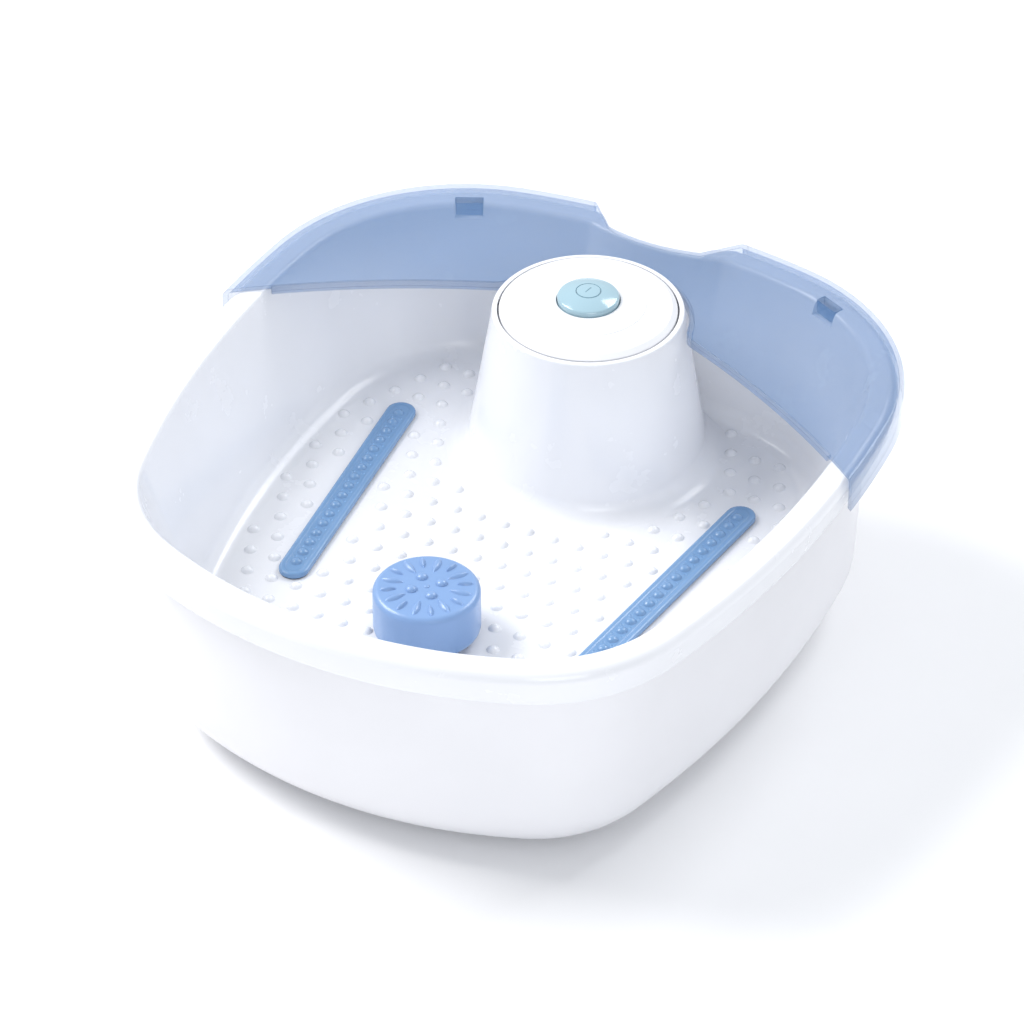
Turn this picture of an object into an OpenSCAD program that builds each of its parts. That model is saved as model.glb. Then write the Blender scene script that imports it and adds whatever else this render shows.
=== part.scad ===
// Foot spa basin: a moulded tub with a hollow column in an outer shell, a splash guard
// that lifts off, two bubble strips fed by a blower, a massage disc and a push button.
// The front points to -Y, and the origin is on the ground under the middle.

/* [Overall] */
// Width across the rim
body_w = 345; // [300:1:420]
// Length from the front of the rim to the back of the splash guard
total_l = 386; // [340:1:465]
// Height of the rim above the ground
rim_h = 137; // [122:1:165]

/* [Outline] */
// Radius of the bow across the front
front_bow = 255; // [215:1:305]
// Radius of the bow along each side
side_bow = 560; // [470:1:670]
// Radius of the bow across the back
rear_bow = 418; // [350:1:500]
// Radius of the two front corners
front_corner = 90; // [75:1:108]
// Radius of the two rear corners
rear_corner = 111; // [93:1:130]
// Distance of the widest place behind the middle
widest_y = 35; // [20:1:45]

/* [Tub] */
// Wall of the tub
wall = 2.6; // [2:0.1:3.2]
// Width of the rim from its outer edge to the hollow
rim_w = 15; // [13:0.5:18]
// Rounding of the rim's outer edge
rim_round = 6; // [4.5:0.5:7.5]
// Rounding of the rim's inner edge
lip_round = 4; // [3.5:0.5:5]
// Height of the skirt that hangs from the rim
skirt_h = 20; // [17:0.5:24]
// Lean of the skirt towards the body
skirt_lean = 3; // [0:0.5:3.5]
// Slope of the inner wall from upright, in degrees
wall_draft = 17.5; // [15:0.5:20]
// Height of the foot floor above the ground
floor_z = 58; // [52:1:64]
// Fillet between the wall and the floor
floor_round = 12; // [9:1:14]

/* [Rear notch] */
// Radius of the bite in the rear rim
notch_r = 84; // [70:1:100]
// Depth of the bite
notch_d = 11.5; // [9:0.5:12.5]
// Swelling of the wall inside the bite
bite_swell = 8.5; // [6:0.5:10]
// Depth over which the swelling dies out
swell_h = 45; // [36:1:55]

/* [Column] */
// Distance of the column behind the middle
col_y = 97; // [92:1:99]
// Radius of the column at its top
col_r = 48.8; // [44:0.1:52]
// Height of the column's top above the ground
col_z = 143.5; // [138:0.5:160]
// Slope of the column from upright, in degrees
col_draft = 9; // [7:0.5:10]
// Fillet between the column and the floor
col_round = 12; // [9:1:14]

/* [Outer shell] */
// Wall of the outer shell
shell_t = 2.2; // [1.8:0.1:2.4]
// Setback of the shell from the rim at its top
shell_in = 14; // [13.5:0.1:14.5]
// Setback of the shell from the rim where it starts to tuck under
shell_low = 17.5; // [16:0.5:20]
// Radius of the tuck under the body
tuck_r = 33; // [28:1:38]
// Height of the shell's underside above the ground
shell_z = 4.5; // [4:0.5:6]
// Width of the flange round the base opening
flange_w = 9; // [8:1:12]

/* [Base] */
// Thickness of the base plate
base_t = 2.5; // [2:0.1:3]
// Radius of a rubber foot
foot_r = 9; // [7.5:0.5:11]
// Distance of the feet to each side of the middle
foot_x = 84; // [75:1:92]
// Distance of the feet in front of and behind the middle
foot_y = 100; // [90:1:108]

/* [Splash guard] */
// Thickness of the guard
guard_t = 2.4; // [2:0.1:2.8]
// Gap between the guard's skirt and the rim
guard_gap = 0.8; // [0.6:0.1:1.2]
// Height of the guard's skirt
guard_skirt_h = 19; // [16:0.5:22]
// Height of the lip along the guard's front edge
guard_lip_h = 5.5; // [4:0.5:7]
// Width of the band of rim that shows inside the bite
band_w = 11; // [9:0.5:13]
// Place of the guard's front edge at the rim, behind the middle
guard_y = 34; // [28:1:45]
// Radius of the guard's front edges
guard_bow = 500; // [416:1:600]
// Gap between the guard and the column
hug_gap = 1.5; // [1.2:0.1:4]

/* [Control head] */
// Height of the cap's crown above the column
cap_rise = 6.5; // [5.5:0.5:8]
// Drop of the cap from its crown to its edge
cap_drop = 4.2; // [3.5:0.1:5]
// Gap between the column and the cap
cap_gap = 0.9; // [0.7:0.1:1.2]
// Radius of the push button
button_r = 15.8; // [13:0.1:19]
// Gap between the button and the cap
button_gap = 0.4; // [0.3:0.05:0.6]
// Height of the button above the crown of the cap
button_h = 5.2; // [4.5:0.1:7]
// Travel of the push button
button_travel = 2.5; // [2:0.1:3]

/* [Massage disc] */
// Radius of the massage disc
disc_r = 26.6; // [22:0.1:31]
// Height of the massage disc
disc_h = 27.5; // [23:0.5:32]
// Distance of the disc in front of the middle
disc_y = 78; // [72:1:84]
// Radius of the post that holds the disc
post_r = 8; // [6.5:0.5:10]
// Gap between the post and the disc
post_gap = 0.35; // [0.3:0.05:0.6]

/* [Bubble strips] */
// Length of a bubble strip
strip_l = 156; // [130:1:166]
// Width of a bubble strip
strip_w = 15.5; // [13:0.5:18]
// Distance of a strip's middle to each side
strip_x = 90; // [84:1:94]
// Turn of each strip towards the front middle, in degrees
strip_toe = 6; // [4:0.5:7]

/* [Drives] */
// Outer radius of the blower
blower_r = 35; // [29:1:35.5]
// Radius of the blower's shaft
shaft_r = 1.5; // [1.3:0.1:2]
// Running gap round each shaft
run_gap = 0.05; // [0.02:0.01:0.08]
// Outer diameter of an air hose
hose_d = 9; // [8:0.5:10]
// Radius of the vibration motor
vibe_r = 11; // [9:0.5:12]

/* [Hidden] */

$fn = 96;
big = 600;

// Outline of the rim: tangent arcs, given for the right half as centre, radius, start and end
guard_out = guard_gap + guard_t;
front_y = -total_l / 2;
function sagitta(r, half) = r - sqrt(r * r - half * half);
notch_half = sqrt(notch_r * notch_r - pow(notch_r - notch_d, 2)) + 2;
rear_y = total_l / 2 - guard_out + sagitta(rear_bow + guard_out, notch_half);
front_c = [0, front_y + front_bow];
side_c = [body_w / 2 - side_bow, widest_y];
rear_c = [0, rear_y - rear_bow];
function meet(c1, r1, c2, r2, side) =
    let (d = norm(c2 - c1), a = (r1 * r1 - r2 * r2 + d * d) / (2 * d), h = sqrt(r1 * r1 - a * a),
         u = (c2 - c1) / d)
    c1 + a * u + side * h * [-u.y, u.x];
function heading(v) = atan2(v.y, v.x);
fc_c = meet(front_c, front_bow - front_corner, side_c, side_bow - front_corner, 1);
rc_c = meet(rear_c, rear_bow - rear_corner, side_c, side_bow - rear_corner, -1);
half_arcs = [
    [front_c, front_bow, -90, heading(fc_c - front_c)],
    [fc_c, front_corner, heading(fc_c - front_c), heading(fc_c - side_c)],
    [side_c, side_bow, heading(fc_c - side_c), heading(rc_c - side_c)],
    [rc_c, rear_corner, heading(rc_c - side_c), heading(rc_c - rear_c)],
    [rear_c, rear_bow, heading(rc_c - rear_c), 90]];

// Points of an arc, and a list turned round
function arc(c, r, from, to, n = 6) =
    [for (i = [0:n]) let (a = from + (to - from) * i / n) c + r * [cos(a), sin(a)]];
function flip(points) = [for (i = [len(points) - 1:-1:0]) points[i]];

// Stations round the right half of the rim, each as arc centre, radius and angle. One station
// stands at the corner of the bite, where the outline breaks.
notch_y = rear_y - notch_d + notch_r;
notch_corner = acos((notch_half - 2) / rear_bow);
arc_steps = [5, 7, 6, 7, 4];
function stations(h, to, n) = [for (i = [0:n - 1]) [h[0], h[1], h[2] + (to - h[2]) * i / n]];
half_ring = concat([for (k = [0:3]) each stations(half_arcs[k], half_arcs[k][3], arc_steps[k])],
    stations(half_arcs[4], notch_corner, arc_steps[4]),
    [for (i = [0:5]) [rear_c, rear_bow, notch_corner + (90 - notch_corner) * i / 5]]);

// Depth of the bite at a station, measured square to the outline
function bite(s) =
    let (n = [cos(s[2]), sin(s[2])], q = s[0] + s[1] * n - [0, notch_y], b = q * n,
         k = b * b - q * q + notch_r * notch_r)
    norm(q) < notch_r ? b + sqrt(k) : 0;

// Outline at a setback from the rim, as points; rims and skirts also follow the bite
function half_outline(setback) = [for (s = half_ring) s[0] + (s[1] - setback) * [cos(s[2]), sin(s[2])]];
function outline(setback) = let (half = half_outline(setback))
    concat(half, [for (i = [len(half) - 2:-1:1]) [-half[i].x, half[i].y]]);

// Skin round the outline through a section of points, each given as setback from the rim,
// height and the share of the bite that the point follows. An open section ends in flat
// faces inside its first and last points, and a closed one joins its ends.
module skin(points, open = false) {
    m = len(points);
    half = [for (s = half_ring) let (depth = bite(s)) [for (p = points)
        let (q = s[0] + (s[1] - p.x - p[2] * depth) * [cos(s[2]), sin(s[2])]) [q.x, q.y, p.y]]];
    all = concat(half, [for (i = [len(half) - 2:-1:1]) [for (q = half[i]) [-q.x, q.y, q.z]]]);
    n = len(all);
    polyhedron([for (r = all) each r],
        concat([for (i = [0:n - 1], k = [0:m - (open ? 2 : 1)]) let (j = (i + 1) % n, l = (k + 1) % m)
            [i * m + k, j * m + k, j * m + l, i * m + l]],
            open ? [[for (i = [n - 1:-1:0]) i * m], [for (i = [0:n - 1]) i * m + m - 1]] : []),
        convexity = 6);
}

// Section of the tub as setback, height and share of the bite, moved by d into the wall. Below
// the bite the wall swells inwards, to keep the rim wide there, and dies out lower down.
wall_u = rim_w - lip_round;
foot_u = wall_u + (lip_round + floor_round
    - (floor_z + floor_round - rim_h + lip_round) * sin(wall_draft)) / cos(wall_draft);
function swell(points) = [for (p = points)
    [p.x, p.y, bite_swell / notch_d * max(0, 1 - (rim_h - p.y) / swell_h)]];
function follow(points) = [for (p = points) [p.x, p.y, 1]];
function outer_skin(d, n) = follow(concat([[skirt_lean + d, rim_h - skirt_h]],
    arc([rim_round, rim_h - rim_round], rim_round - d, 180, 90, n)));
function lip_skin(d, n) = swell(arc([wall_u, rim_h - lip_round], lip_round - d, 90, wall_draft, n));
function foot_skin(d, n) =
    swell(arc([foot_u, floor_z + floor_round], floor_round + d, 180 + wall_draft, 270, n));
// Setback of the tub's outer wall face at a height, and the ledge there that sits on the
// shell. The top of the shell is dished by a share of the bite, to stay inside the skirt.
function back_u(z) = wall_u + (lip_round - wall) / cos(wall_draft)
    + (rim_h - lip_round - z) * tan(wall_draft);
shell_top = rim_h - skirt_h + 2;
dish = 0.4;
ledge_z = [shell_top + 3, shell_top + 0.3];
shell_ledge = [[back_u(ledge_z[0]), ledge_z[0], dish], [shell_in - 0.5, ledge_z[1], dish],
    [back_u(ledge_z[1]), ledge_z[1], dish]];

// Column: outer and inner radius at a height, and the radius where its fillet starts
function cone_r(z) = col_r + (col_z - z) * tan(col_draft);
function bore_r(z) = cone_r(z) - wall / cos(col_draft);
col_foot_r = col_r + (col_round - (floor_z + col_round - col_z) * sin(col_draft)) / cos(col_draft);

// Places that more than one piece shares
under_z = floor_z - wall;
plate_z = shell_z - base_t;
tuck_u = shell_low + tuck_r;
screw_r = 1.75;
screw_places = [for (x = [-1, 1]) each [[x * 62, -104], [x * 100, -10], [x * 66, 118]]];
cup_z = plate_z + 6;
foot_neck = 3.2;
strip_top = 2.5;
strip_y = 6;
bump_pitch = 8.4;
bump_r = 2.2;
air_hole_r = 0.6;
inlet_y = 34;
seal_t = 0.8;
strip_z = floor_z + seal_t;
slot_w = strip_w - 5.5;
slot_l = strip_l - 10;
channel_h = 11;
inlet_z = strip_z - channel_h - 5;
valve_z = inlet_z - 6;
valve_r = 3.4;
hose_bore = 6;
spigot_r = 3;
seat_r = post_r + 6;
seat_h = 4;
disc_z = floor_z + seat_h;
post_h = 14;
cap_ledge_z = col_z - 5.5;
cap_seal_t = 1;
cap_top = col_z + cap_rise;
cap_r = bore_r(col_z) - cap_gap;
cap_bevel = 3;
mark_r = 5.9;
function cap_z(r) = cap_top - cap_drop * pow(r / (cap_r - cap_bevel), 2);
cap_ledge_t = 2.4;
cap_ledge_w = 4;
groove_r = 31;
cap_ledge_in = 2.2;
post_head_r = 3.4;
cap_t = 2.4;
hole_r = button_r + button_gap;
flange_r = button_r + 2;
flange_z = cap_z(flange_r) - cap_t - 0.1;
button_flange = 1.6;
board_z = 118;
board_t = 1.6;
board_top = board_z + board_t;
switch_h = 7.6;
plunger_r = 2.2;
stem_z = board_top + switch_h + button_travel + 0.3;
board_r = 40;
head_screw_at = 32;
head_screws = [for (a = [30, 150, 270]) head_screw_at * [cos(a), sin(a)]];
blower_z = plate_z + base_t + 1.5;
blower_h = 26;
cover_z = blower_z + blower_h;
spigot_z = blower_z + 12;
spigot_l = 10;
blower_screws_at = [for (a = [45:90:315]) (blower_r + 4) * [cos(a), sin(a)]];
motor_h = 26;
vibe_z = under_z - 18;
vibe_shaft_r = 1.25;
cradle = [24, 34, 31];
cradle_ears = [for (s = [-1, 1]) [0, s * (cradle.y / 2 + 5)]];
heater = [110, 62, 2.4];
heater_y = -6;
tuck_top = shell_z + tuck_r;
function shell_mid_u(z) = let (k = (z - tuck_top) / (shell_top - tuck_top))
    shell_low + (shell_in + dish * notch_d - shell_low) * k;
gland_z = 45;
gland_y = rear_y - shell_mid_u(gland_z);
gland_flange = 3;
clip = [14, 5, 8.5];
clip_turn = 26;
clip_u = 9;
clip_gap = 0.5;
flange_sink = 1;
gland_r = 8;
gland_reach = 14;
lead_r = 3.6;
board = [52, 78, 1.6];
board_at = [-60, -22, plate_z + base_t + 5];

module at_column() { translate([0, col_y, 0]) children(); }
module at_disc() { translate([0, -disc_y, 0]) children(); }
module at_strip(side) {
    translate([side * strip_x, strip_y, 0]) rotate([0, 0, -side * strip_toe]) children();
}
module tube(r1, r2, z1, z2) {
    translate([0, 0, z1]) difference() {
        cylinder(r = r1, h = z2 - z1);
        translate([0, 0, -1]) cylinder(r = r2, h = z2 - z1 + 2);
    }
}
module rod(r, z1, z2) { translate([0, 0, z1]) cylinder(r = r, h = z2 - z1); }
module stadium(l, w) {
    square([w, l - w], center = true);
    for (s = [-1, 1]) translate([0, s * (l - w) / 2]) circle(d = w);
}
// Straight runs of round section through the points, with a ball at each bend
module run(points, d) {
    for (i = [1:len(points) - 1]) {
        v = points[i] - points[i - 1];
        translate(points[i - 1]) rotate([0, acos(v.z / norm(v)), atan2(v.y, v.x)])
            cylinder(d = d, h = norm(v));
        if (i < len(points) - 1) translate(points[i]) sphere(d = d);
    }
}
module screws(places, z, head_r, head_h, length) {
    for (p = places) translate([p.x, p.y, 0]) {
        rod(head_r, z - head_h, z);
        rod(screw_r, z, z + length);
    }
}

module basin_tub() {
    color("whitesmoke") difference() {
        union() {
            bowl();
            column_outside();
            posts();
        }
        column_bore();
        for (side = [-1, 1]) at_strip(side) translate([0, 0, under_z - 1])
            linear_extrude(wall + 2) stadium(slot_l, slot_w);
        for (p = screw_places) translate([p.x, p.y, 0]) rod(screw_r, cup_z - 1, cup_z + 16);
        at_disc() for (p = cradle_ears) translate([p.x, p.y, 0]) rod(screw_r, vibe_z - 1, vibe_z + 12);
        at_clips() for (y = [0, -clip.y]) translate([0, y, 0]) clip_block(clip_gap);
    }
}

module bowl() {
    skin(concat(flip(foot_skin(0, 4)), flip(lip_skin(0, 3)), flip(outer_skin(0, 3)),
        outer_skin(wall, 1), lip_skin(wall, 1), shell_ledge, foot_skin(wall, 2)), open = true);
}

module column_outside() {
    at_column() rotate_extrude() polygon(concat([[0, floor_z - 1], [col_foot_r, floor_z - 1]],
        arc([col_foot_r, floor_z + col_round], col_round, 270, 180 + col_draft, 5),
        [[col_r, col_z], [0, col_z]]));
}

module column_bore() {
    low = under_z - 1;
    ledge_low = cap_ledge_z - cap_ledge_t;
    ledge_r = bore_r(cap_ledge_z) - cap_ledge_w;
    at_column() rotate_extrude() polygon([[0, low], [bore_r(low), low], [bore_r(ledge_low), ledge_low],
        [ledge_r, ledge_low], [ledge_r, cap_ledge_z], [bore_r(cap_ledge_z), cap_ledge_z],
        [bore_r(col_z + 1), col_z + 1], [0, col_z + 1]]);
}

// Posts under the floor that take the screws, and the seat and post of the massage disc
module posts() {
    for (p = screw_places) translate([p.x, p.y, 0]) rod(4.5, cup_z, under_z + 1);
    at_disc() {
        for (p = cradle_ears) translate([p.x, p.y, 0]) rod(4, vibe_z, under_z + 1);
        rod(seat_r, floor_z - 1, disc_z);
        rod(post_r, floor_z, disc_z + post_h - 1);
    }
}

module outer_shell() {
    color("white") difference() {
        skin(concat(shell_skin(0), flip(shell_skin(shell_t))));
        at_gland() rod(gland_r, -gland_reach, big);
        at_gland() rod(gland_r + gland_flange, -flange_sink, big);
    }
}
function shell_skin(d) = concat([[shell_in + d, shell_top, dish]],
    [for (p = concat(arc([tuck_u, shell_z + tuck_r], tuck_r - d, 180, 270, 6),
        [[tuck_u + flange_w, shell_z + d]])) [p.x, p.y, 0]]);

module base_plate() {
    color("gainsboro") difference() {
        union() {
            translate([0, 0, plate_z]) linear_extrude(base_t) polygon(outline(tuck_u + 1));
            for (p = screw_places) translate([p.x, p.y, 0]) rod(7, plate_z, cup_z);
            at_column() for (p = blower_screws_at) translate([p.x, p.y, 0]) rod(4, shell_z - 1, blower_z);
            translate([board_at.x, board_at.y, 0]) for (x = [-1, 1], y = [-1, 1])
                translate([x * (board.x / 2 - 5), y * (board.y / 2 - 5), 0])
                        rod(3.5, shell_z - 1, board_at.z);
        }
        for (p = screw_places) translate([p.x, p.y, 0]) {
            rod(4.2, plate_z - 1, cup_z - 2.5);
            rod(2, 0, big);
        }
        for (x = [-1, 1], y = [-1, 1]) translate([x * foot_x, y * foot_y, 0]) rod(foot_neck, 0, big);
        at_column() for (p = blower_screws_at) translate([p.x, p.y, 0]) rod(screw_r, plate_z + 1, big);
        for (i = [-3:3]) translate([i * 9, 0, plate_z - 1]) linear_extrude(base_t + 2) stadium(34, 3.5);
    }
}

module rubber_feet() {
    color("dimgray") for (x = [-1, 1], y = [-1, 1]) translate([x * foot_x, y * foot_y, 0]) {
        rotate_extrude() polygon([[0, 0], [foot_r - 1, 0], [foot_r, 1], [foot_r, plate_z],
            [foot_neck, plate_z], [foot_neck, shell_z], [foot_neck + 1.2, shell_z],
            [foot_neck + 0.4, shell_z + 2.5], [0, shell_z + 2.5]]);
    }
}

module base_screws() { color("silver") screws(screw_places, cup_z - 2.5, 3.6, 2.2, 16); }

module at_gland() { translate([0, gland_y, gland_z]) rotate([-90, 0, 0]) children(); }

module inlet_gland() {
    color("gray") at_gland() difference() {
        union() {
            rod(gland_r - 0.02, -gland_reach, 3);
            rod(gland_r + gland_flange, -flange_sink, 3);
            rod(gland_r + 2, -11, -shell_t - 1.2);
            translate([0, 0, 3]) cylinder(r1 = gland_r, r2 = lead_r + 2, h = 6);
        }
        rod(lead_r, -15, 10);
    }
}

// Area in front of the guard's edge, grown by g
module guard_front(g) {
    corner = [body_w / 2, guard_y];
    inner = [cone_r(rim_h) + hug_gap + 1.7, col_y + 6];
    chord = inner - corner;
    centre = (inner + corner) / 2
        + sqrt(guard_bow * guard_bow - pow(norm(chord) / 2, 2)) * [-chord.y, chord.x] / norm(chord);
    translate([0, col_y]) circle(r = cone_r(rim_h) + hug_gap + g);
    for (side = [0, 1]) mirror([side, 0]) intersection() {
        translate(centre) circle(r = guard_bow + g);
        translate([0, -big]) square([big, 2 * big]);
    }
}

// Clip under each side of the guard, and the notch in the rim that it drops into
module at_clips() {
    for (side = [0, 1]) mirror([side, 0, 0]) translate(rc_c) rotate([0, 0, -clip_turn]) children();
}
module clip_block(gap) {
    translate([-clip.x / 2 - gap, rear_corner - clip_u - clip.y, rim_h + 1 - clip.z - gap])
        cube([clip.x + 2 * gap, clip.y + gap, clip.z + gap]);
}

// Plan of the guard at a setback from the rim, and a layer of it
module guard_plan(setback) {
    difference() {
        polygon(outline(setback));
        guard_window();
        guard_front(0);
    }
}
// Opening in the guard that shows the rim inside the bite
module guard_window() {
    half = notch_half - 2;
    intersection() {
        translate([0, notch_y]) circle(r = notch_r + band_w);
        polygon([[-half - big, rear_y + big], [half + big, rear_y + big], [half, rear_y - 2],
            [half - band_w, rear_y - 2 - band_w], [0, rear_y - 3 * band_w],
            [band_w - half, rear_y - 2 - band_w], [-half, rear_y - 2]]);
    }
}
module guard_layer(setback, z1, z2) { translate([0, 0, z1]) linear_extrude(z2 - z1) guard_plan(setback); }

module splash_guard() {
    top = rim_h + guard_t;
    color("steelblue") union() {
        difference() {
            union() {
                guard_layer(-guard_out, top - guard_skirt_h, top - 0.8);
                guard_layer(0.8 - guard_out, top - 0.9, top);
            }
            translate([0, 0, rim_h - big]) linear_extrude(big) polygon(outline(-guard_gap));
        }
        translate([0, 0, top - guard_lip_h]) linear_extrude(guard_lip_h - 1) intersection() {
            difference() {
                guard_front(guard_t);
                guard_front(0);
            }
            polygon(outline(rim_w + 0.6));
            translate([-big / 2, guard_y - 20]) square(big);
        }
        at_clips() clip_block(0);
    }
}

module column_cap() {
    rim = cap_r - cap_bevel;
    crown = [for (i = [0:5]) let (r = hole_r + (rim - hole_r) * i / 5) [r, cap_z(r)]];
    under = [for (p = crown) [p.x, p.y - cap_t]];
    color("white") at_column() difference() {
        union() {
            rotate_extrude() polygon(concat(crown,
                [[cap_r - 0.6, col_z + 0.8], [cap_r, col_z - 0.4], [cap_r, cap_ledge_z + cap_seal_t],
                [cap_r - cap_ledge_in, cap_ledge_z + cap_seal_t], [cap_r - cap_ledge_in, col_z - 1.6]],
                flip(under)));
            for (p = head_screws) translate([p.x, p.y, 0])
                rod(post_head_r, board_top, cap_z(head_screw_at + post_head_r) - 1);
        }
        for (p = head_screws) translate([p.x, p.y, 0]) rod(screw_r, board_z, board_z + 14);
        tube(groove_r + 0.6, groove_r, cap_z(groove_r) - 0.6, cap_top + 1);
    }
}

module cap_seal() {
    color("dimgray") at_column()
        tube(cap_r - 0.1, cap_r - cap_ledge_in - 0.2, cap_ledge_z, cap_ledge_z + cap_seal_t);
}

module control_button() {
    top = cap_top + button_h;
    edge_z = cap_z(hole_r) + 1.2;
    edge_r = 1.6;
    color("lightblue") at_column() difference() {
        union() {
            rotate_extrude() polygon(concat([
                [0, flange_z - button_flange], [flange_r, flange_z - button_flange],
                [flange_r, flange_z], [button_r, flange_z]],
                arc([button_r - edge_r, edge_z], edge_r, 0, 60, 3),
                [for (t = [0.8, 0.6, 0.4, 0.2, 0]) let (r = t * (button_r - edge_r / 2))
                    [r, top - (top - edge_z - edge_r) * t * t]]));
            rod(3, stem_z, flange_z - button_flange + 1);
        }
        tube(mark_r + 0.8, mark_r, top - 1.1, top + 1);
    }
}

module switch_plunger() { color("black") at_column() rod(plunger_r, board_top + 1 + button_travel, stem_z); }

// Helix of round wire: rings of points along the coil, joined into one skin
spring_r = 7.2;
wire_r = 0.5;
spring_turns = 5;
spring_z = [board_top + 1, flange_z - button_flange];
spring_steps = 90;
function spring_ring(i) =
    let (a = 360 * spring_turns * i / spring_steps,
         z = spring_z[0] + wire_r + (spring_z[1] - spring_z[0] - 2 * wire_r) * i / spring_steps)
    [for (k = [0:7]) [(spring_r + wire_r * cos(45 * k)) * cos(a),
        (spring_r + wire_r * cos(45 * k)) * sin(a), z + wire_r * sin(45 * k)]];
module button_spring() {
    points = [for (i = [0:spring_steps]) each spring_ring(i)];
    sides = [for (i = [0:spring_steps - 1], k = [0:7]) let (n = (k + 1) % 8)
        [8 * i + k, 8 * i + n, 8 * (i + 1) + n, 8 * (i + 1) + k]];
    last = 8 * spring_steps;
    color("silver") at_column()
        polyhedron(points, concat(sides, [[for (k = [7:-1:0]) k]], [[for (k = [0:7]) last + k]]));
}

module spring_seat() {
    color("dimgray") at_column() difference() {
        rod(10, board_top, board_top + 2.5);
        rod(8.4, board_top + 1, board_top + 3);
        rod(6.4, board_top - 1, board_top + 3);
    }
}

module push_switch() {
    color("dimgray") at_column() difference() {
        translate([-4.3, -4.3, board_top]) cube([8.6, 8.6, switch_h]);
        rod(plunger_r + run_gap, board_top + 0.8, board_top + 9);
    }
}

module control_board() {
    color("darkgreen") at_column() difference() {
        rod(board_r, board_z, board_z + board_t);
        for (p = head_screws) translate([p.x, p.y, 0]) rod(2, board_z - 1, board_z + 3);
    }
}

module board_screws() { color("silver") at_column() screws(head_screws, board_z, 3.2, 1.8, 12); }

module bubble_strip(side) {
    at_strip(side) difference() {
        union() {
            translate([0, 0, strip_z]) linear_extrude(strip_top) stadium(strip_l, strip_w);
            translate([0, 0, strip_z - channel_h]) linear_extrude(channel_h + 1)
                stadium(slot_l - 1, slot_w - 1);
            translate([0, inlet_y, 0]) rod(5.5, inlet_z, strip_z - channel_h + 1);
            for (i = [-8:8]) translate([0, i * bump_pitch, strip_z + strip_top - 0.6])
                sphere(r = bump_r, $fn = 32);
        }
        translate([0, 0, strip_z - channel_h + 2]) linear_extrude(channel_h - 2)
            stadium(slot_l - 7, slot_w - 5);
        translate([0, inlet_y, 0]) rod(valve_r, inlet_z - 1, strip_z - 2);
        for (i = [-8:7]) translate([0, (i + 0.5) * bump_pitch, 0])
            rod(air_hole_r, strip_z - 2, strip_z + 4);
    }
}
module left_bubble_strip() { color("steelblue") bubble_strip(-1); }
module right_bubble_strip() { color("steelblue") bubble_strip(1); }

module strip_seal(side) {
    at_strip(side) translate([0, 0, floor_z]) linear_extrude(seal_t) difference() {
        stadium(strip_l - 1, strip_w - 1);
        stadium(slot_l, slot_w);
    }
}
module left_strip_seal() { color("dimgray") strip_seal(-1); }
module right_strip_seal() { color("dimgray") strip_seal(1); }

// Non-return valve that plugs into a strip's inlet, and the hose below it
module air_valve(side) {
    at_strip(side) translate([0, inlet_y, 0]) difference() {
        union() {
            rod(valve_r, valve_z, inlet_z + 4);
            rod(6.5, valve_z, inlet_z);
            rod(spigot_r, valve_z - 5, valve_z + 1);
        }
        rod(1.6, valve_z - 6, inlet_z + 5);
    }
}
module left_air_valve() { color("ivory") air_valve(-1); }
module right_air_valve() { color("ivory") air_valve(1); }

module air_hose(side) {
    end = [side * strip_x, strip_y] + inlet_y * [side * sin(strip_toe), cos(strip_toe)];
    start = [side * (blower_r + 1), col_y, spigot_z];
    path = [start, [end.x, col_y, spigot_z], [end.x, end.y, spigot_z], [end.x, end.y, valve_z]];
    difference() {
        run(path, hose_d);
        run(concat([start - [side, 0, 0]], [path[1], path[2]], [path[3] + [0, 0, 1]]), hose_bore);
    }
}
module left_air_hose() { color("lightgray") air_hose(-1); }
module right_air_hose() { color("lightgray") air_hose(1); }

module massage_disc() {
    color("steelblue") at_disc() difference() {
        union() {
            rotate_extrude() polygon(concat([[0, disc_z], [disc_r - 2, disc_z], [disc_r, disc_z + 2]],
                arc([disc_r - 4, disc_z + disc_h - 4.5], 4, 0, 78, 5), [[0, disc_z + disc_h - 0.4]]));
            for (a = [0:90:270]) rotate([0, 0, a]) translate([7.5, 0, disc_z + disc_h - 1.9])
                sphere(r = 2.6, $fn = 32);
        }
        rod(post_r + post_gap, disc_z - 1, disc_z + post_h);
    }
}

module blower_housing() {
    color("darkgray") at_column() difference() {
        union() {
            rod(blower_r, blower_z, cover_z);
            for (p = blower_screws_at) translate([p.x, p.y, 0]) rod(5, blower_z, cover_z);
            for (side = [-1, 1]) translate([0, 0, spigot_z]) rotate([0, side * 90, 0])
                rod(spigot_r, blower_r - 3, blower_r + spigot_l);
        }
        rod(blower_r - 2, blower_z + 2, cover_z + 1);
        for (p = blower_screws_at) translate([p.x, p.y, 0]) rod(2, blower_z - 1, cover_z + 1);
        translate([0, 0, spigot_z]) rotate([0, 90, 0]) rod(1.8, -blower_r - 12, blower_r + 12);
    }
}

module blower_cover() {
    color("gray") at_column() difference() {
        union() {
            rod(blower_r, cover_z, cover_z + 2);
            for (p = blower_screws_at) translate([p.x, p.y, 0]) rod(5, cover_z, cover_z + 2);
        }
        rod(5, cover_z - 1, cover_z + 3);
        for (a = [22.5:45:340]) rotate([0, 0, a]) translate([25, 0, 0]) rod(4, cover_z - 1, cover_z + 3);
        for (p = blower_screws_at) translate([p.x, p.y, 0]) rod(2, cover_z - 1, cover_z + 3);
    }
}

module blower_screws() {
    length = cover_z + 2 - blower_z + 2.5;
    color("silver") at_column() for (p = blower_screws_at) translate([p.x, p.y, 0]) {
        rod(3.2, cover_z + 2, cover_z + 4);
        rod(screw_r, cover_z + 2 - length, cover_z + 2);
    }
}

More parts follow.
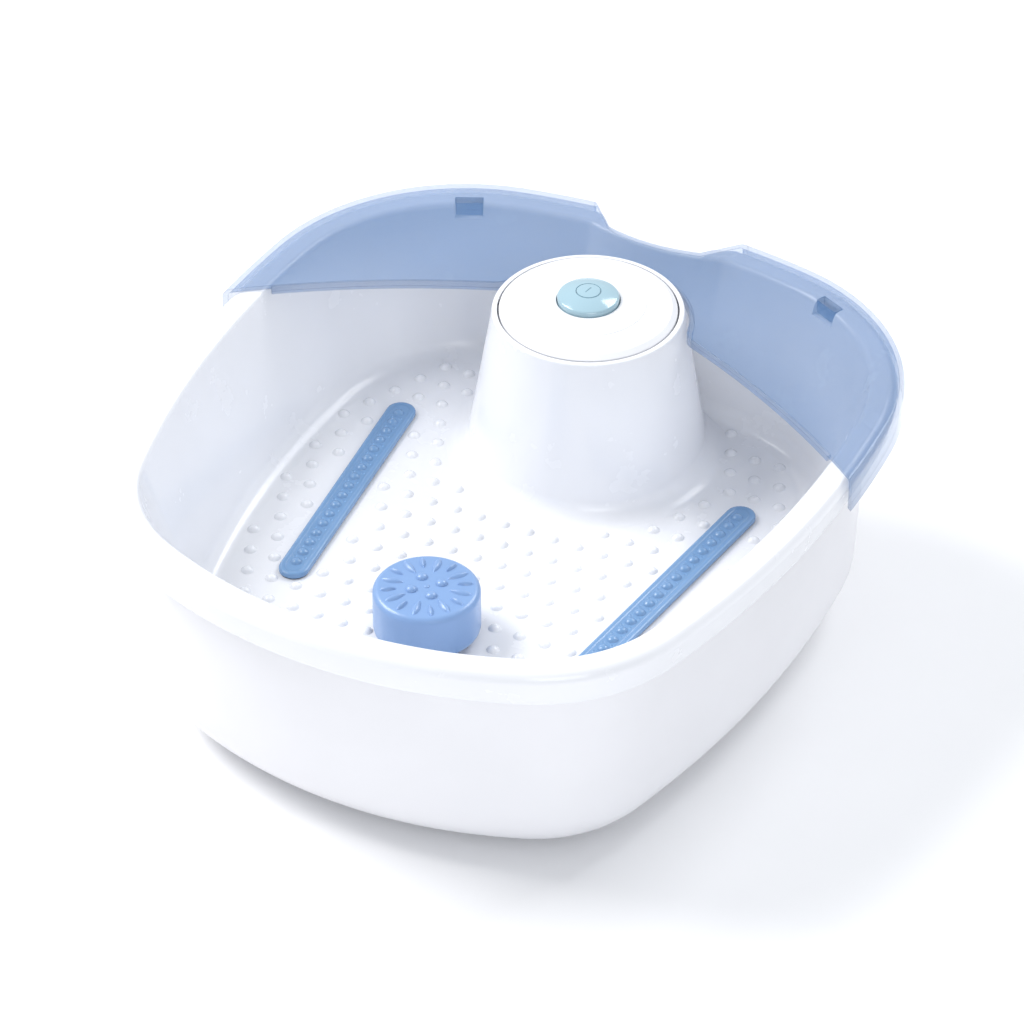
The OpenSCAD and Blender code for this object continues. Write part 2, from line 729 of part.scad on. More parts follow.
module blower_motor() {
    z = cover_z + 2;
    color("silver") at_column() difference() {
        union() {
            rod(15, z, z + motor_h);
            rod(5 - 0.1, z - 2, z);
        }
        rod(shaft_r + run_gap, z - 3, z + motor_h - 4);
    }
}

module blower_shaft() { color("silver") at_column() rod(shaft_r, blower_z + 6, cover_z + motor_h - 4); }

module blower_impeller() {
    z = blower_z + 5;
    color("white") at_column() difference() {
        union() {
            rod(blower_r - 7, z, z + 2);
            rod(5, z, z + 14);
            for (a = [0:30:330]) rotate([0, 0, a]) translate([9, -0.8, z + 1]) cube([blower_r - 17, 1.6, 13]);
        }
        rod(shaft_r, z + 1, z + 20);
    }
}

module along_x() { at_disc() translate([0, 0, vibe_z]) rotate([0, 90, 0]) children(); }

module vibration_cradle() {
    color("gray") difference() {
        union() {
            at_disc() translate([-cradle.x / 2, -cradle.y / 2, vibe_z - 14]) cube(cradle);
            at_disc() for (p = cradle_ears) translate([p.x - 6, p.y - 6, vibe_z - 4]) cube([12, 12, 4]);
        }
        along_x() rod(vibe_r, -big / 2, big / 2);
        at_disc() for (p = cradle_ears) translate([p.x, p.y, 0]) rod(2, vibe_z - 5, vibe_z + 1);
    }
}

module cradle_screws() { color("silver") at_disc() screws(cradle_ears, vibe_z - 4, 3.2, 2, 14); }

module vibration_motor() {
    color("silver") along_x() difference() {
        rod(vibe_r - 0.02, -18, 14);
        rod(vibe_shaft_r + run_gap, -12, 15);
    }
}

module vibration_shaft() { color("silver") along_x() rod(vibe_shaft_r, -10, 27); }

module eccentric_weight() {
    color("goldenrod") along_x() difference() {
        rod(9, 18, 26);
        translate([-22.5, -10, 17]) cube([20, 20, 10]);
        rod(vibe_shaft_r, 17, 28);
    }
}

module heater_plate() {
    color("silver") translate([-heater.x / 2, heater_y - heater.y / 2, under_z - heater.z]) cube(heater);
}

module thermal_cutout() {
    color("black") translate([30, heater_y, 0]) {
        rod(7, under_z - heater.z - 8, under_z - heater.z);
        translate([-12, -3, under_z - heater.z - 1.2]) cube([24, 6, 1.2]);
    }
}

module power_board() {
    color("darkgreen") translate(board_at - [board.x / 2, board.y / 2, 0]) cube(board);
}

module transformer() {
    color("dimgray") translate([board_at.x, board_at.y - 10, board_at.z + board.z]) difference() {
        union() {
            translate([-16, -19, 0]) cube([32, 38, 24]);
            translate([-20, -12, 4]) cube([40, 24, 16]);
        }
        translate([-21, -2, 10]) cube([4, 4, 4]);
    }
}

module supply_wire() {
    x = board_at.x + 6;
    y = gland_y - 33;
    z = board_at.z + 0.8;
    color("gray") run([[0, gland_y - 14.4, gland_z], [0, y, gland_z], [x, y, gland_z],
        [x, y, z], [x, board_at.y + board.y / 2, z]], 5);
}

module column_wires() {
    x = -blower_r;
    y = col_y - 14;
    z = board_at.z + board.z + 2;
    color("firebrick") run([[x, board_at.y + 25, z], [x, y, z], [x, y, board_z]], 4);
}

basin_tub();
outer_shell();
base_plate();
rubber_feet();
base_screws();
inlet_gland();
splash_guard();
column_cap();
cap_seal();
control_button();
switch_plunger();
button_spring();
spring_seat();
push_switch();
control_board();
board_screws();
left_bubble_strip();
right_bubble_strip();
left_strip_seal();
right_strip_seal();
left_air_valve();
right_air_valve();
left_air_hose();
right_air_hose();
massage_disc();
blower_housing();
blower_cover();
blower_screws();
blower_motor();
blower_shaft();
blower_impeller();
vibration_cradle();
cradle_screws();
vibration_motor();
vibration_shaft();
eccentric_weight();
heater_plate();
thermal_cutout();
power_board();
transformer();
supply_wire();
column_wires();
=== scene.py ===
"""Foot spa basin: the finished look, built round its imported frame.

Sizes are in millimetres where a name says so and in metres on the mesh. The front of the
basin points to -Y, as it does in the frame.
"""

import math

import bmesh
import bpy
from bpy.props import FloatProperty, FloatVectorProperty, PointerProperty
from mathutils import Matrix, Vector


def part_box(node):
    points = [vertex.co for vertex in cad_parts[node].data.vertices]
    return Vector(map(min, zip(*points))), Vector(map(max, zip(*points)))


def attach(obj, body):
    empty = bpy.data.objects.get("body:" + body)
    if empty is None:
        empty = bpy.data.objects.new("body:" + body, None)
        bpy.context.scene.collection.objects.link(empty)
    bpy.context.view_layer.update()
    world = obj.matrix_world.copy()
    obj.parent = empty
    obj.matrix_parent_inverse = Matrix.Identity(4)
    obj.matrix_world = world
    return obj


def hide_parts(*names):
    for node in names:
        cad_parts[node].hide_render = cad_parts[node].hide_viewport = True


bl_info = {
    "name": "Foot Spa Basin",
    "version": (1, 0, 0),
    "blender": (4, 5, 0),
    "location": "View3D > Sidebar > Foot Spa",
    "description": "Builds a foot spa basin, its clear guard, control head and massage pieces",
    "category": "Add Mesh",
}

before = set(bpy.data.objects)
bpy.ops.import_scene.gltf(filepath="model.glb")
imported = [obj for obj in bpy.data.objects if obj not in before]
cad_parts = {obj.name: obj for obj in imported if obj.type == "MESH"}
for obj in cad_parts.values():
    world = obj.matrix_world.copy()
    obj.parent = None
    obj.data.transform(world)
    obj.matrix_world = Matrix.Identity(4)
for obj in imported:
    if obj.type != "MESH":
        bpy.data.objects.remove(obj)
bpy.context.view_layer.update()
MM = 0.001
# setback, depth, width, low and high end of a guard clip and of its notch, in millimetres
CLIP = (9, 5, 14, 129.5, 138)
CLIP_NOTCH = (8.5, 10.5, 15, 129, 141)
CLIP_TURN = 26
STRIP_Y = 6 * MM


# ---------------------------------------------------------------- settings


def length(name, text, value):
    return FloatProperty(name=name, description=text, default=value * MM, unit="LENGTH",
                         precision=4)


def colour(name, text, value):
    return FloatVectorProperty(name=name, description=text, default=value, subtype="COLOR",
                               size=3, min=0.0, max=1.0)


def factor(name, text, value):
    return FloatProperty(name=name, description=text, default=value, subtype="FACTOR",
                         min=0.0, max=1.0)


def angle(name, text, value):
    return FloatProperty(name=name, description=text, default=math.radians(value), unit="ROTATION")


class FootSpaSizes(bpy.types.PropertyGroup):
    """Sizes of the basin, the same as those of its frame"""

    body_w: length("Width", "Width across the rim", 345)
    total_l: length("Length", "Length over the rim and the guard", 386)
    rim_h: length("Rim height", "Height of the rim above the ground", 137)
    front_bow: length("Front bow", "Radius of the bow across the front", 255)
    side_bow: length("Side bow", "Radius of the bow along each side", 560)
    rear_bow: length("Rear bow", "Radius of the bow across the back", 418)
    front_corner: length("Front corner", "Radius of the front corners", 90)
    rear_corner: length("Rear corner", "Radius of the rear corners", 111)
    widest_y: length("Widest place", "Distance of the widest place behind the middle", 35)
    wall: length("Tub wall", "Thickness of the tub's wall", 2.6)
    rim_w: length("Rim width", "Width of the rim", 15)
    rim_round: length("Rim rounding", "Rounding of the rim's outer edge", 6)
    lip_round: length("Lip rounding", "Rounding of the rim's inner edge", 4)
    skirt_h: length("Skirt height", "Height of the skirt that hangs from the rim", 20)
    skirt_lean: length("Skirt lean", "Lean of the skirt towards the body", 3)
    floor_z: length("Floor height", "Height of the foot floor above the ground", 58)
    floor_round: length("Floor fillet", "Fillet between wall and floor", 12)
    wall_draft: angle("Wall slope", "Slope of the inner wall from upright", 17.5)
    notch_r: length("Bite radius", "Radius of the bite in the rear rim", 84)
    notch_d: length("Bite depth", "Depth of the bite in the rear rim", 11.5)
    swell: length("Bite swelling", "Swelling of the wall inside the bite", 8.5)
    swell_h: length("Swelling height", "Depth over which the swelling dies out", 45)
    col_y: length("Column place", "Distance of the column behind the middle", 97)
    col_r: length("Column radius", "Radius of the column at its top", 48.8)
    col_z: length("Column height", "Height of the column's top", 143.5)
    col_draft: angle("Column slope", "Slope of the column from upright", 9)
    nub_r: length("Nub radius", "Radius of a floor nub at its foot", 3.4)
    nub_h: length("Nub height", "Height of a floor nub", 1.9)
    guard_t: length("Guard thickness", "Thickness of the splash guard", 2.4)
    guard_gap: length("Guard gap", "Gap between the guard's skirt and the rim", 0.8)
    guard_skirt_h: length("Guard skirt", "Height of the guard's skirt", 19)
    guard_lip_h: length("Guard lip", "Height of the lip along the guard's front edge", 5.5)
    guard_y: length("Guard front", "Place of the guard's front edge at the rim", 34)
    guard_bow: length("Guard bow", "Radius of the guard's front edges", 500)
    hug_gap: length("Column gap", "Gap between the guard and the column", 1.5)
    cap_rise: length("Cap rise", "Height of the cap's crown above the column", 6.5)
    cap_drop: length("Cap drop", "Drop of the cap from its crown to its edge", 4.2)
    button_r: length("Button radius", "Radius of the push button", 15.8)
    button_h: length("Button height", "Height of the button above the cap's crown", 5.2)
    disc_r: length("Disc radius", "Radius of the massage disc", 26.6)
    disc_h: length("Disc height", "Height of the massage disc", 27.5)
    disc_y: length("Disc place", "Distance of the disc in front of the middle", 78)
    strip_l: length("Strip length", "Length of a bubble strip", 156)
    strip_w: length("Strip width", "Width of a bubble strip", 15.5)
    strip_x: length("Strip place", "Distance of a strip to each side of the middle", 90)
    strip_toe: angle("Strip turn", "Turn of each strip towards the front middle", 6)


class FootSpaFinish(bpy.types.PropertyGroup):
    """Colours and surface of the basin"""

    white: colour("White", "Colour of the tub and the control cap", (0.80, 0.81, 0.845))
    shell_white: colour("Shell white", "Colour of the outer shell", (0.79, 0.79, 0.82))
    guard_blue: colour("Guard blue", "Colour of the clear guard", (0.05, 0.20, 0.47))
    guard_cover: factor("Guard cover", "How much one face of the guard covers", 0.27)
    strip_blue: colour("Strip blue", "Colour of the bubble strips", (0.16, 0.30, 0.52))
    disc_blue: colour("Disc blue", "Colour of the massage disc", (0.20, 0.33, 0.58))
    button_blue: colour("Button blue", "Colour of the push button", (0.34, 0.50, 0.58))
    gloss: factor("Gloss", "Roughness of the glossy mouldings", 0.24)
    grain: factor("Grain", "Depth of the moulded grain", 0.25)


def sizes():
    return bpy.context.scene.foot_spa_sizes


def finish_of():
    return bpy.context.scene.foot_spa_finish


# ---------------------------------------------------------------- outline


def polar(cx, cy, r, a):
    return (cx + r * math.cos(a), cy + r * math.sin(a))


def meet(c1, r1, c2, r2, side):
    """Where two circles cross, on one side of the line from the first to the second"""
    dx, dy = c2[0] - c1[0], c2[1] - c1[1]
    d = math.hypot(dx, dy)
    a = (r1 * r1 - r2 * r2 + d * d) / (2 * d)
    h = math.sqrt(r1 * r1 - a * a)
    ux, uy = dx / d, dy / d
    return (c1[0] + a * ux - side * h * uy, c1[1] + a * uy + side * h * ux)


def heading(a, b):
    return math.atan2(b[1] - a[1], b[0] - a[0])


class Outline:
    """Tangent arcs round the rim, with the bite in the middle of the back"""

    def __init__(self, s, steps=(14, 18, 16, 18, 12, 18)):
        out = s.guard_gap + s.guard_t
        self.s = s
        notch_half = math.sqrt(s.notch_r**2 - (s.notch_r - s.notch_d) ** 2)
        self.notch_half = notch_half
        sag_r, half = s.rear_bow + out, notch_half + 2 * MM
        self.rear_y = s.total_l / 2 - out + sag_r - math.sqrt(sag_r**2 - half**2)
        self.notch_y = self.rear_y - s.notch_d + s.notch_r
        front = (0.0, -s.total_l / 2 + s.front_bow)
        side = (s.body_w / 2 - s.side_bow, s.widest_y)
        rear = (0.0, self.rear_y - s.rear_bow)
        fc = meet(front, s.front_bow - s.front_corner, side, s.side_bow - s.front_corner, 1)
        rc = meet(rear, s.rear_bow - s.rear_corner, side, s.side_bow - s.rear_corner, -1)
        self.rc = rc
        cut = math.acos(notch_half / s.rear_bow)
        spans = [
            (front, s.front_bow, -math.pi / 2, heading(front, fc)),
            (fc, s.front_corner, heading(front, fc), heading(side, fc)),
            (side, s.side_bow, heading(side, fc), heading(side, rc)),
            (rc, s.rear_corner, heading(side, rc), heading(rear, rc)),
            (rear, s.rear_bow, heading(rear, rc), cut),
            (rear, s.rear_bow, cut, math.pi / 2),
        ]
        right = []
        for (c, r, a0, a1), n in zip(spans, steps):
            right += [(c[0], c[1], r, a0 + (a1 - a0) * i / n) for i in range(n)]
        right.append((rear[0], rear[1], s.rear_bow, math.pi / 2))
        left = [(-x, y, r, math.pi - a) for x, y, r, a in right[-2:0:-1]]
        self.stations = right + left

    def bite(self, st):
        """How far the bite cuts in at a station"""
        x, y, r, a = st
        px, py = polar(x, y, r, a)
        py -= self.notch_y
        if math.hypot(px, py) >= self.s.notch_r - 1e-7:
            return 0.0
        b = px * math.cos(a) + py * math.sin(a)
        return b + math.sqrt(b * b - px * px - py * py + self.s.notch_r**2)

    def loop(self, setback):
        return [polar(x, y, r - setback, a) for x, y, r, a in self.stations]


def arc(u, z, r, a0, a1, n):
    return [(u + r * math.cos(math.radians(a0 + (a1 - a0) * i / n)),
             z + r * math.sin(math.radians(a0 + (a1 - a0) * i / n))) for i in range(n + 1)]


def inside(p, loop):
    """Whether a point lies in a closed loop"""
    hit, j = False, len(loop) - 1
    for i in range(len(loop)):
        (xi, yi), (xj, yj) = loop[i], loop[j]
        if (yi > p[1]) != (yj > p[1]) and p[0] < (xj - xi) * (p[1] - yi) / (yj - yi) + xi:
            hit = not hit
        j = i
    return hit


# ---------------------------------------------------------------- mesh work


def add_sweep(bm, outline, section, closed=True):
    """Carries a section of (setback, height, share of the bite) round the outline"""
    rings = []
    for st in outline.stations:
        x, y, r, a = st
        depth = outline.bite(st)
        rings.append([bm.verts.new((*polar(x, y, r - u - k * depth, a), z)) for u, z, k in section])
    m = len(section)
    for i in range(len(rings)):
        ra, rb = rings[i], rings[(i + 1) % len(rings)]
        for k in range(m if closed else m - 1):
            bm.faces.new((ra[k], rb[k], rb[(k + 1) % m], ra[(k + 1) % m]))
    if not closed:
        bm.faces.new([r[0] for r in reversed(rings)])
        bm.faces.new([r[-1] for r in rings])
    return rings


def add_lathe(bm, profile, centre=(0, 0, 0), steps=96, closed=False, turn=None):
    """Turns a profile of (radius, height) about an upright axis, or another one"""
    rows = []
    for r, z in profile:
        if r < 1e-7:
            rows.append([bm.verts.new((0, 0, z))])
        else:
            rows.append([bm.verts.new((r * math.cos(2 * math.pi * i / steps),
                                       r * math.sin(2 * math.pi * i / steps), z))
                         for i in range(steps)])
    pairs = list(zip(rows, rows[1:])) + ([(rows[-1], rows[0])] if closed else [])
    for a, b in pairs:
        for i in range(steps):
            j = (i + 1) % steps
            if len(a) == 1 and len(b) == 1:
                continue
            if len(a) == 1:
                bm.faces.new((a[0], b[j], b[i]))
            elif len(b) == 1:
                bm.faces.new((a[i], a[j], b[0]))
            else:
                bm.faces.new((a[i], a[j], b[j], b[i]))
    verts = [v for row in rows for v in row]
    if turn:
        bmesh.ops.transform(bm, matrix=turn, verts=verts)
    bmesh.ops.translate(bm, vec=centre, verts=verts)
    return verts


def add_prism(bm, loop, z0, z1):
    low = [bm.verts.new((x, y, z0)) for x, y in loop]
    top = [bm.verts.new((x, y, z1)) for x, y in loop]
    n = len(loop)
    for i in range(n):
        bm.faces.new((low[i], low[(i + 1) % n], top[(i + 1) % n], top[i]))
    bm.faces.new(list(reversed(low)))
    bm.faces.new(top)
    return low + top


def made(name, bm, sharp=38):
    """Puts a finished mesh in the scene, with its faces turned outwards"""
    bmesh.ops.recalc_face_normals(bm, faces=bm.faces)
    mesh = bpy.data.meshes.new(name)
    bm.to_mesh(mesh)
    bm.free()
    obj = bpy.data.objects.new(name, mesh)
    bpy.context.scene.collection.objects.link(obj)
    smooth(obj, sharp)
    return obj


def smooth(obj, sharp=38):
    obj.data.polygons.foreach_set("use_smooth", [True] * len(obj.data.polygons))
    obj.data.set_sharp_from_angle(angle=math.radians(sharp))


def baked(obj):
    """Writes an object's modifiers into its mesh"""
    bpy.context.view_layer.update()
    graph = bpy.context.evaluated_depsgraph_get()
    mesh = bpy.data.meshes.new_from_object(obj.evaluated_get(graph))
    old = obj.data
    obj.modifiers.clear()
    obj.data = mesh
    bpy.data.meshes.remove(old)


def joined(obj, other, how):
    """Adds to, or cuts from, a mesh with another one, which is used up"""
    mod = obj.modifiers.new(how.lower(), "BOOLEAN")
    mod.object, mod.operation, mod.solver = other, how, "EXACT"
    baked(obj)
    used = other.data
    bpy.data.objects.remove(other)
    bpy.data.meshes.remove(used)


def rounded(obj, width, limit=40, segments=3, material=-1):
    mod = obj.modifiers.new("edges", "BEVEL")
    mod.width, mod.segments, mod.limit_method = width, segments, "ANGLE"
    mod.angle_limit = math.radians(limit)
    mod.use_clamp_overlap, mod.material = True, material
    baked(obj)


def evened(obj):
    """Keeps flat faces flat in the shading"""
    mod = obj.modifiers.new("flats", "WEIGHTED_NORMAL")
    mod.keep_sharp, mod.weight = True, 80


def placed(obj, body, nodes, material):
    if material:
        obj.data.materials.clear()
        obj.data.materials.append(material)
    if nodes:
        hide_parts(*nodes)
    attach(obj, body)
    return obj


# ---------------------------------------------------------------- materials


def group(name, inputs, outputs):
    tree = bpy.data.node_groups.get(name)
    if tree:
        return tree, None, None
    tree = bpy.data.node_groups.new(name, "ShaderNodeTree")
    for label, kind, value in inputs:
        socket = tree.interface.new_socket(label, in_out="INPUT", socket_type=kind)
        if value is not None:
            socket.default_value = value
    for label, kind in outputs:
        tree.interface.new_socket(label, in_out="OUTPUT", socket_type=kind)
    return tree, tree.nodes.new("NodeGroupInput"), tree.nodes.new("NodeGroupOutput")


def node(tree, kind, **values):
    made_node = tree.nodes.new(kind)
    for key, value in values.items():
        if hasattr(made_node, key):
            setattr(made_node, key, value)
        else:
            made_node.inputs[key.replace("_", " ")].default_value = value
    return made_node


def plug(tree, value, socket):
    """Links a socket to another one, or sets it to a number"""
    if isinstance(value, bpy.types.NodeSocket):
        tree.links.new(value, socket)
    else:
        socket.default_value = value


def worked(tree, operation, a, b):
    """Result of a Math node"""
    step = node(tree, "ShaderNodeMath", operation=operation)
    plug(tree, a, step.inputs[0])
    plug(tree, b, step.inputs[1])
    return step.outputs[0]


def ranged(tree, value, start, end=(0.0, 1.0)):
    """Result of a Map Range node from one pair of limits to another"""
    step = node(tree, "ShaderNodeMapRange")
    for key, given in zip(("Value", "From Min", "From Max", "To Min", "To Max"),
                          (value, *start, *end)):
        plug(tree, given, step.inputs[key])
    return step.outputs["Result"]


def moulding_group():
    """Fine grain, slow waves and uneven gloss of moulded plastic"""
    tree, inp, out = group("Moulded surface", [
        ("Grain Size", "NodeSocketFloat", 900.0), ("Wave", "NodeSocketFloat", 0.4),
        ("Grain", "NodeSocketFloat", 0.3), ("Shade", "NodeSocketFloat", 0.05),
        ("Base", "NodeSocketColor", (0.8, 0.8, 0.8, 1)), ("Gloss", "NodeSocketFloat", 0.25)],
        [("Color", "NodeSocketColor"), ("Roughness", "NodeSocketFloat"),
         ("Height", "NodeSocketFloat")])
    if inp is None:
        return tree
    place = node(tree, "ShaderNodeTexCoord").outputs["Object"]
    fine = node(tree, "ShaderNodeTexNoise", Detail=3.0, Roughness=0.6)
    slow = node(tree, "ShaderNodeTexNoise", Scale=16.0, Detail=2.0, Roughness=0.5)
    patch = node(tree, "ShaderNodeTexNoise", Scale=45.0, Detail=4.0, Roughness=0.55)
    for noise in (fine, slow, patch):
        plug(tree, place, noise.inputs["Vector"])
    plug(tree, inp.outputs["Grain Size"], fine.inputs["Scale"])
    grain = worked(tree, "MULTIPLY", fine.outputs["Fac"], inp.outputs["Grain"])
    wave = worked(tree, "MULTIPLY", slow.outputs["Fac"], inp.outputs["Wave"])
    plug(tree, worked(tree, "ADD", grain, wave), out.inputs["Height"])
    darkest = worked(tree, "SUBTRACT", 1.0, inp.outputs["Shade"])
    tint = node(tree, "ShaderNodeMix", data_type="RGBA", blend_type="MULTIPLY")
    for slot, value in ((0, 1.0), (6, inp.outputs["Base"]),
                        (7, ranged(tree, slow.outputs["Fac"], (0.3, 0.7), (darkest, 1.0)))):
        plug(tree, value, tint.inputs[slot])
    plug(tree, tint.outputs[2], out.inputs["Color"])
    low, high = (worked(tree, "MULTIPLY", inp.outputs["Gloss"], share) for share in (0.8, 1.25))
    plug(tree, ranged(tree, patch.outputs["Fac"], (0.25, 0.75), (low, high)),
         out.inputs["Roughness"])
    return tree


def edge_highlight_group():
    """Mask that is high along convex edges, where a painted highlight goes"""
    tree, inp, out = group("Edge highlight mask", [("Reach", "NodeSocketFloat", 0.56)],
                           [("Mask", "NodeSocketFloat")])
    if inp is None:
        return tree
    shape = node(tree, "ShaderNodeNewGeometry").outputs["Pointiness"]
    high = worked(tree, "ADD", inp.outputs["Reach"], 0.10)
    plug(tree, ranged(tree, shape, (inp.outputs["Reach"], high)), out.inputs["Mask"])
    return tree


def plastic(name, base, gloss=0.25, grain=0.25, wave=0.35, grain_size=900.0, shade=0.05,
            bump=0.05, coat=0.0, metal=0.0, edge=None):
    """Moulded plastic, rubber or plain metal with its own grain and slow waves"""
    mat = bpy.data.materials.get(name)
    if mat:
        return mat
    mat = bpy.data.materials.new(name)
    mat.use_nodes = True
    tree = mat.node_tree
    link = tree.links.new
    shader = tree.nodes["Principled BSDF"]
    surface = node(tree, "ShaderNodeGroup")
    surface.node_tree = moulding_group()
    for key, value in (("Grain Size", grain_size), ("Wave", wave), ("Grain", grain),
                       ("Shade", shade), ("Base", (*base, 1)), ("Gloss", gloss)):
        surface.inputs[key].default_value = value
    raised = node(tree, "ShaderNodeBump", Strength=bump, Distance=0.001)
    link(surface.outputs["Height"], raised.inputs["Height"])
    link(raised.outputs["Normal"], shader.inputs["Normal"])
    link(surface.outputs["Roughness"], shader.inputs["Roughness"])
    # an edge colour, where given, is a painted highlight mixed in along convex edges
    if edge:
        mask = node(tree, "ShaderNodeGroup")
        mask.node_tree = edge_highlight_group()
        mix = node(tree, "ShaderNodeMix", data_type="RGBA")
        link(mask.outputs["Mask"], mix.inputs[0])
        link(surface.outputs["Color"], mix.inputs[6])
        mix.inputs[7].default_value = (*edge, 1)
        link(mix.outputs[2], shader.inputs["Base Color"])
    else:
        link(surface.outputs["Color"], shader.inputs["Base Color"])
    shader.inputs["Metallic"].default_value = metal
    shader.inputs["Coat Weight"].default_value = coat
    shader.inputs["Coat Roughness"].default_value = 0.08
    return mat


def clear_plastic(name, base, cover, edge_cover):
    """Clear moulded plastic that covers more where it is seen at a slant"""
    mat = plastic(name, base, gloss=0.1, grain=0.1, wave=0.5, shade=0.1, bump=0.03, coat=0.5)
    tree = mat.node_tree
    slant = node(tree, "ShaderNodeLayerWeight", Blend=0.35)
    shown = ranged(tree, slant.outputs["Facing"], (0.45, 0.95), (cover, edge_cover))
    plug(tree, shown, tree.nodes["Principled BSDF"].inputs["Alpha"])
    return mat


def white_plastic():
    f = finish_of()
    return plastic("White moulding", tuple(f.white), gloss=f.gloss, grain=f.grain, coat=0.25,
                   shade=0.03)


def blue_plastic(name, base, gloss):
    # the lighter edge colour is a painted highlight along convex edges
    return plastic(name, base, gloss=gloss, grain=0.3, shade=0.08, coat=0.2,
                   edge=tuple(min(1, c * 1.25 + 0.02) for c in base))


# ---------------------------------------------------------------- tub and shell


def nub_places(s, outline):
    """Staggered rows of nubs that keep clear of the walls, the column, the strips and the disc"""
    step_x, step_y = 13.8 * MM, 15.3 * MM
    edge = outline.loop(foot_setback(s) - 2.5 * MM)
    places = []
    for j in range(-13, 14):
        for i in range(-14, 15):
            x = (i + (0.5 if j % 2 else 0.0)) * step_x
            y = j * step_y + 2 * MM
            if not inside((x, y), edge):
                continue
            if math.hypot(x, y - s.col_y) < column_foot(s) + 1.5 * MM:
                continue
            if math.hypot(x, y + s.disc_y) < s.disc_r + 1 * MM:
                continue
            if any(strip_gap(s, side, x, y) < s.nub_r + 1.2 * MM for side in (-1, 1)):
                continue
            places.append((x, y))
    return places


def strip_gap(s, side, x, y):
    """Distance of a point from the edge of a bubble strip"""
    a = -side * s.strip_toe
    dx, dy = x - side * s.strip_x, y - STRIP_Y
    u = dx * math.cos(a) + dy * math.sin(a)
    v = -dx * math.sin(a) + dy * math.cos(a)
    v = max(0.0, abs(v) - (s.strip_l - s.strip_w) / 2)
    return math.hypot(u, v) - s.strip_w / 2


def foot_setback(s):
    """Setback of the fillet's centre at the foot of the wall"""
    wall_u = s.rim_w - s.lip_round
    return wall_u + (s.lip_round + s.floor_round - (s.floor_z + s.floor_round - s.rim_h
                     + s.lip_round) * math.sin(s.wall_draft)) / math.cos(s.wall_draft)


def clip_box(s, outline, side, setback, deep, wide, low, high):
    """Block at a guard clip, from a setback inwards, with its sizes in millimetres"""
    bm = bmesh.new()
    place = (Matrix.Translation((side * outline.rc[0], outline.rc[1], 0))
             @ Matrix.Rotation(math.radians(-CLIP_TURN * side), 4, "Z")
             @ Matrix.Translation((0, s.rear_corner - (setback + deep / 2) * MM,
                                   (low + high) / 2 * MM)))
    bmesh.ops.create_cube(bm, size=1.0, matrix=place @ Matrix.Diagonal(
        (wide * MM, deep * MM, (high - low) * MM, 1)))
    return made("block", bm)


def column_foot(s):
    """Radius of the fillet's centre line round the foot of the column"""
    return s.col_r + (s.floor_round - (s.floor_z + s.floor_round - s.col_z)
                      * math.sin(s.col_draft)) / math.cos(s.col_draft)


def tub_section(s):
    """Section of the tub from its floor over the rim to the skirt, and back under the wall"""
    wall_u, foot_u, draft = s.rim_w - s.lip_round, foot_setback(s), math.degrees(s.wall_draft)

    def share(z):
        t = max(0.0, 1 - (s.rim_h - z) / s.swell_h)
        return s.swell / s.notch_d * t

    def swelled(points):
        return [(u, z, share(z)) for u, z in points]

    def wall_rows(d, n):
        top = arc(wall_u, s.rim_h - s.lip_round, s.lip_round - d, 90, draft, 8 if d == 0 else 4)
        foot = arc(foot_u, s.floor_z + s.floor_round, s.floor_round + d, 180 + draft, 270, 10)
        (ua, za), (ub, zb) = top[-1], foot[0]
        between = [(ua + (ub - ua) * i / n, za + (zb - za) * i / n, share(za) * (1 - i / n))
                   for i in range(1, n)]
        return swelled(top) + between + swelled(foot)

    def outer(d, n):
        low = [(s.skirt_lean + d, s.rim_h - s.skirt_h, 1)]
        (u0, z0, _), (u1, z1) = low[0], (d, s.rim_h - s.rim_round)
        mid = [(u0 + (u1 - u0) * i / 4, z0 + (z1 - z0) * i / 4, 1) for i in (1, 2, 3)]
        return low + mid + [(u, z, 1) for u, z in
                            arc(s.rim_round, s.rim_h - s.rim_round, s.rim_round - d, 180, 90, n)]

    edge = [(s.skirt_lean + 0.5 * MM, s.rim_h - s.skirt_h, 1),
            (s.skirt_lean + s.wall - 0.5 * MM, s.rim_h - s.skirt_h, 1)]
    seen = outer(0, 8)
    seen[0] = (seen[0][0] - 0.02 * MM, seen[0][1] + 0.5 * MM, 1)
    hidden = outer(s.wall, 4)
    hidden[0] = (hidden[0][0], hidden[0][1] + 0.5 * MM, 1)
    return (list(reversed(wall_rows(0, 10))) + list(reversed(seen)) + edge + hidden
            + wall_rows(s.wall, 6))


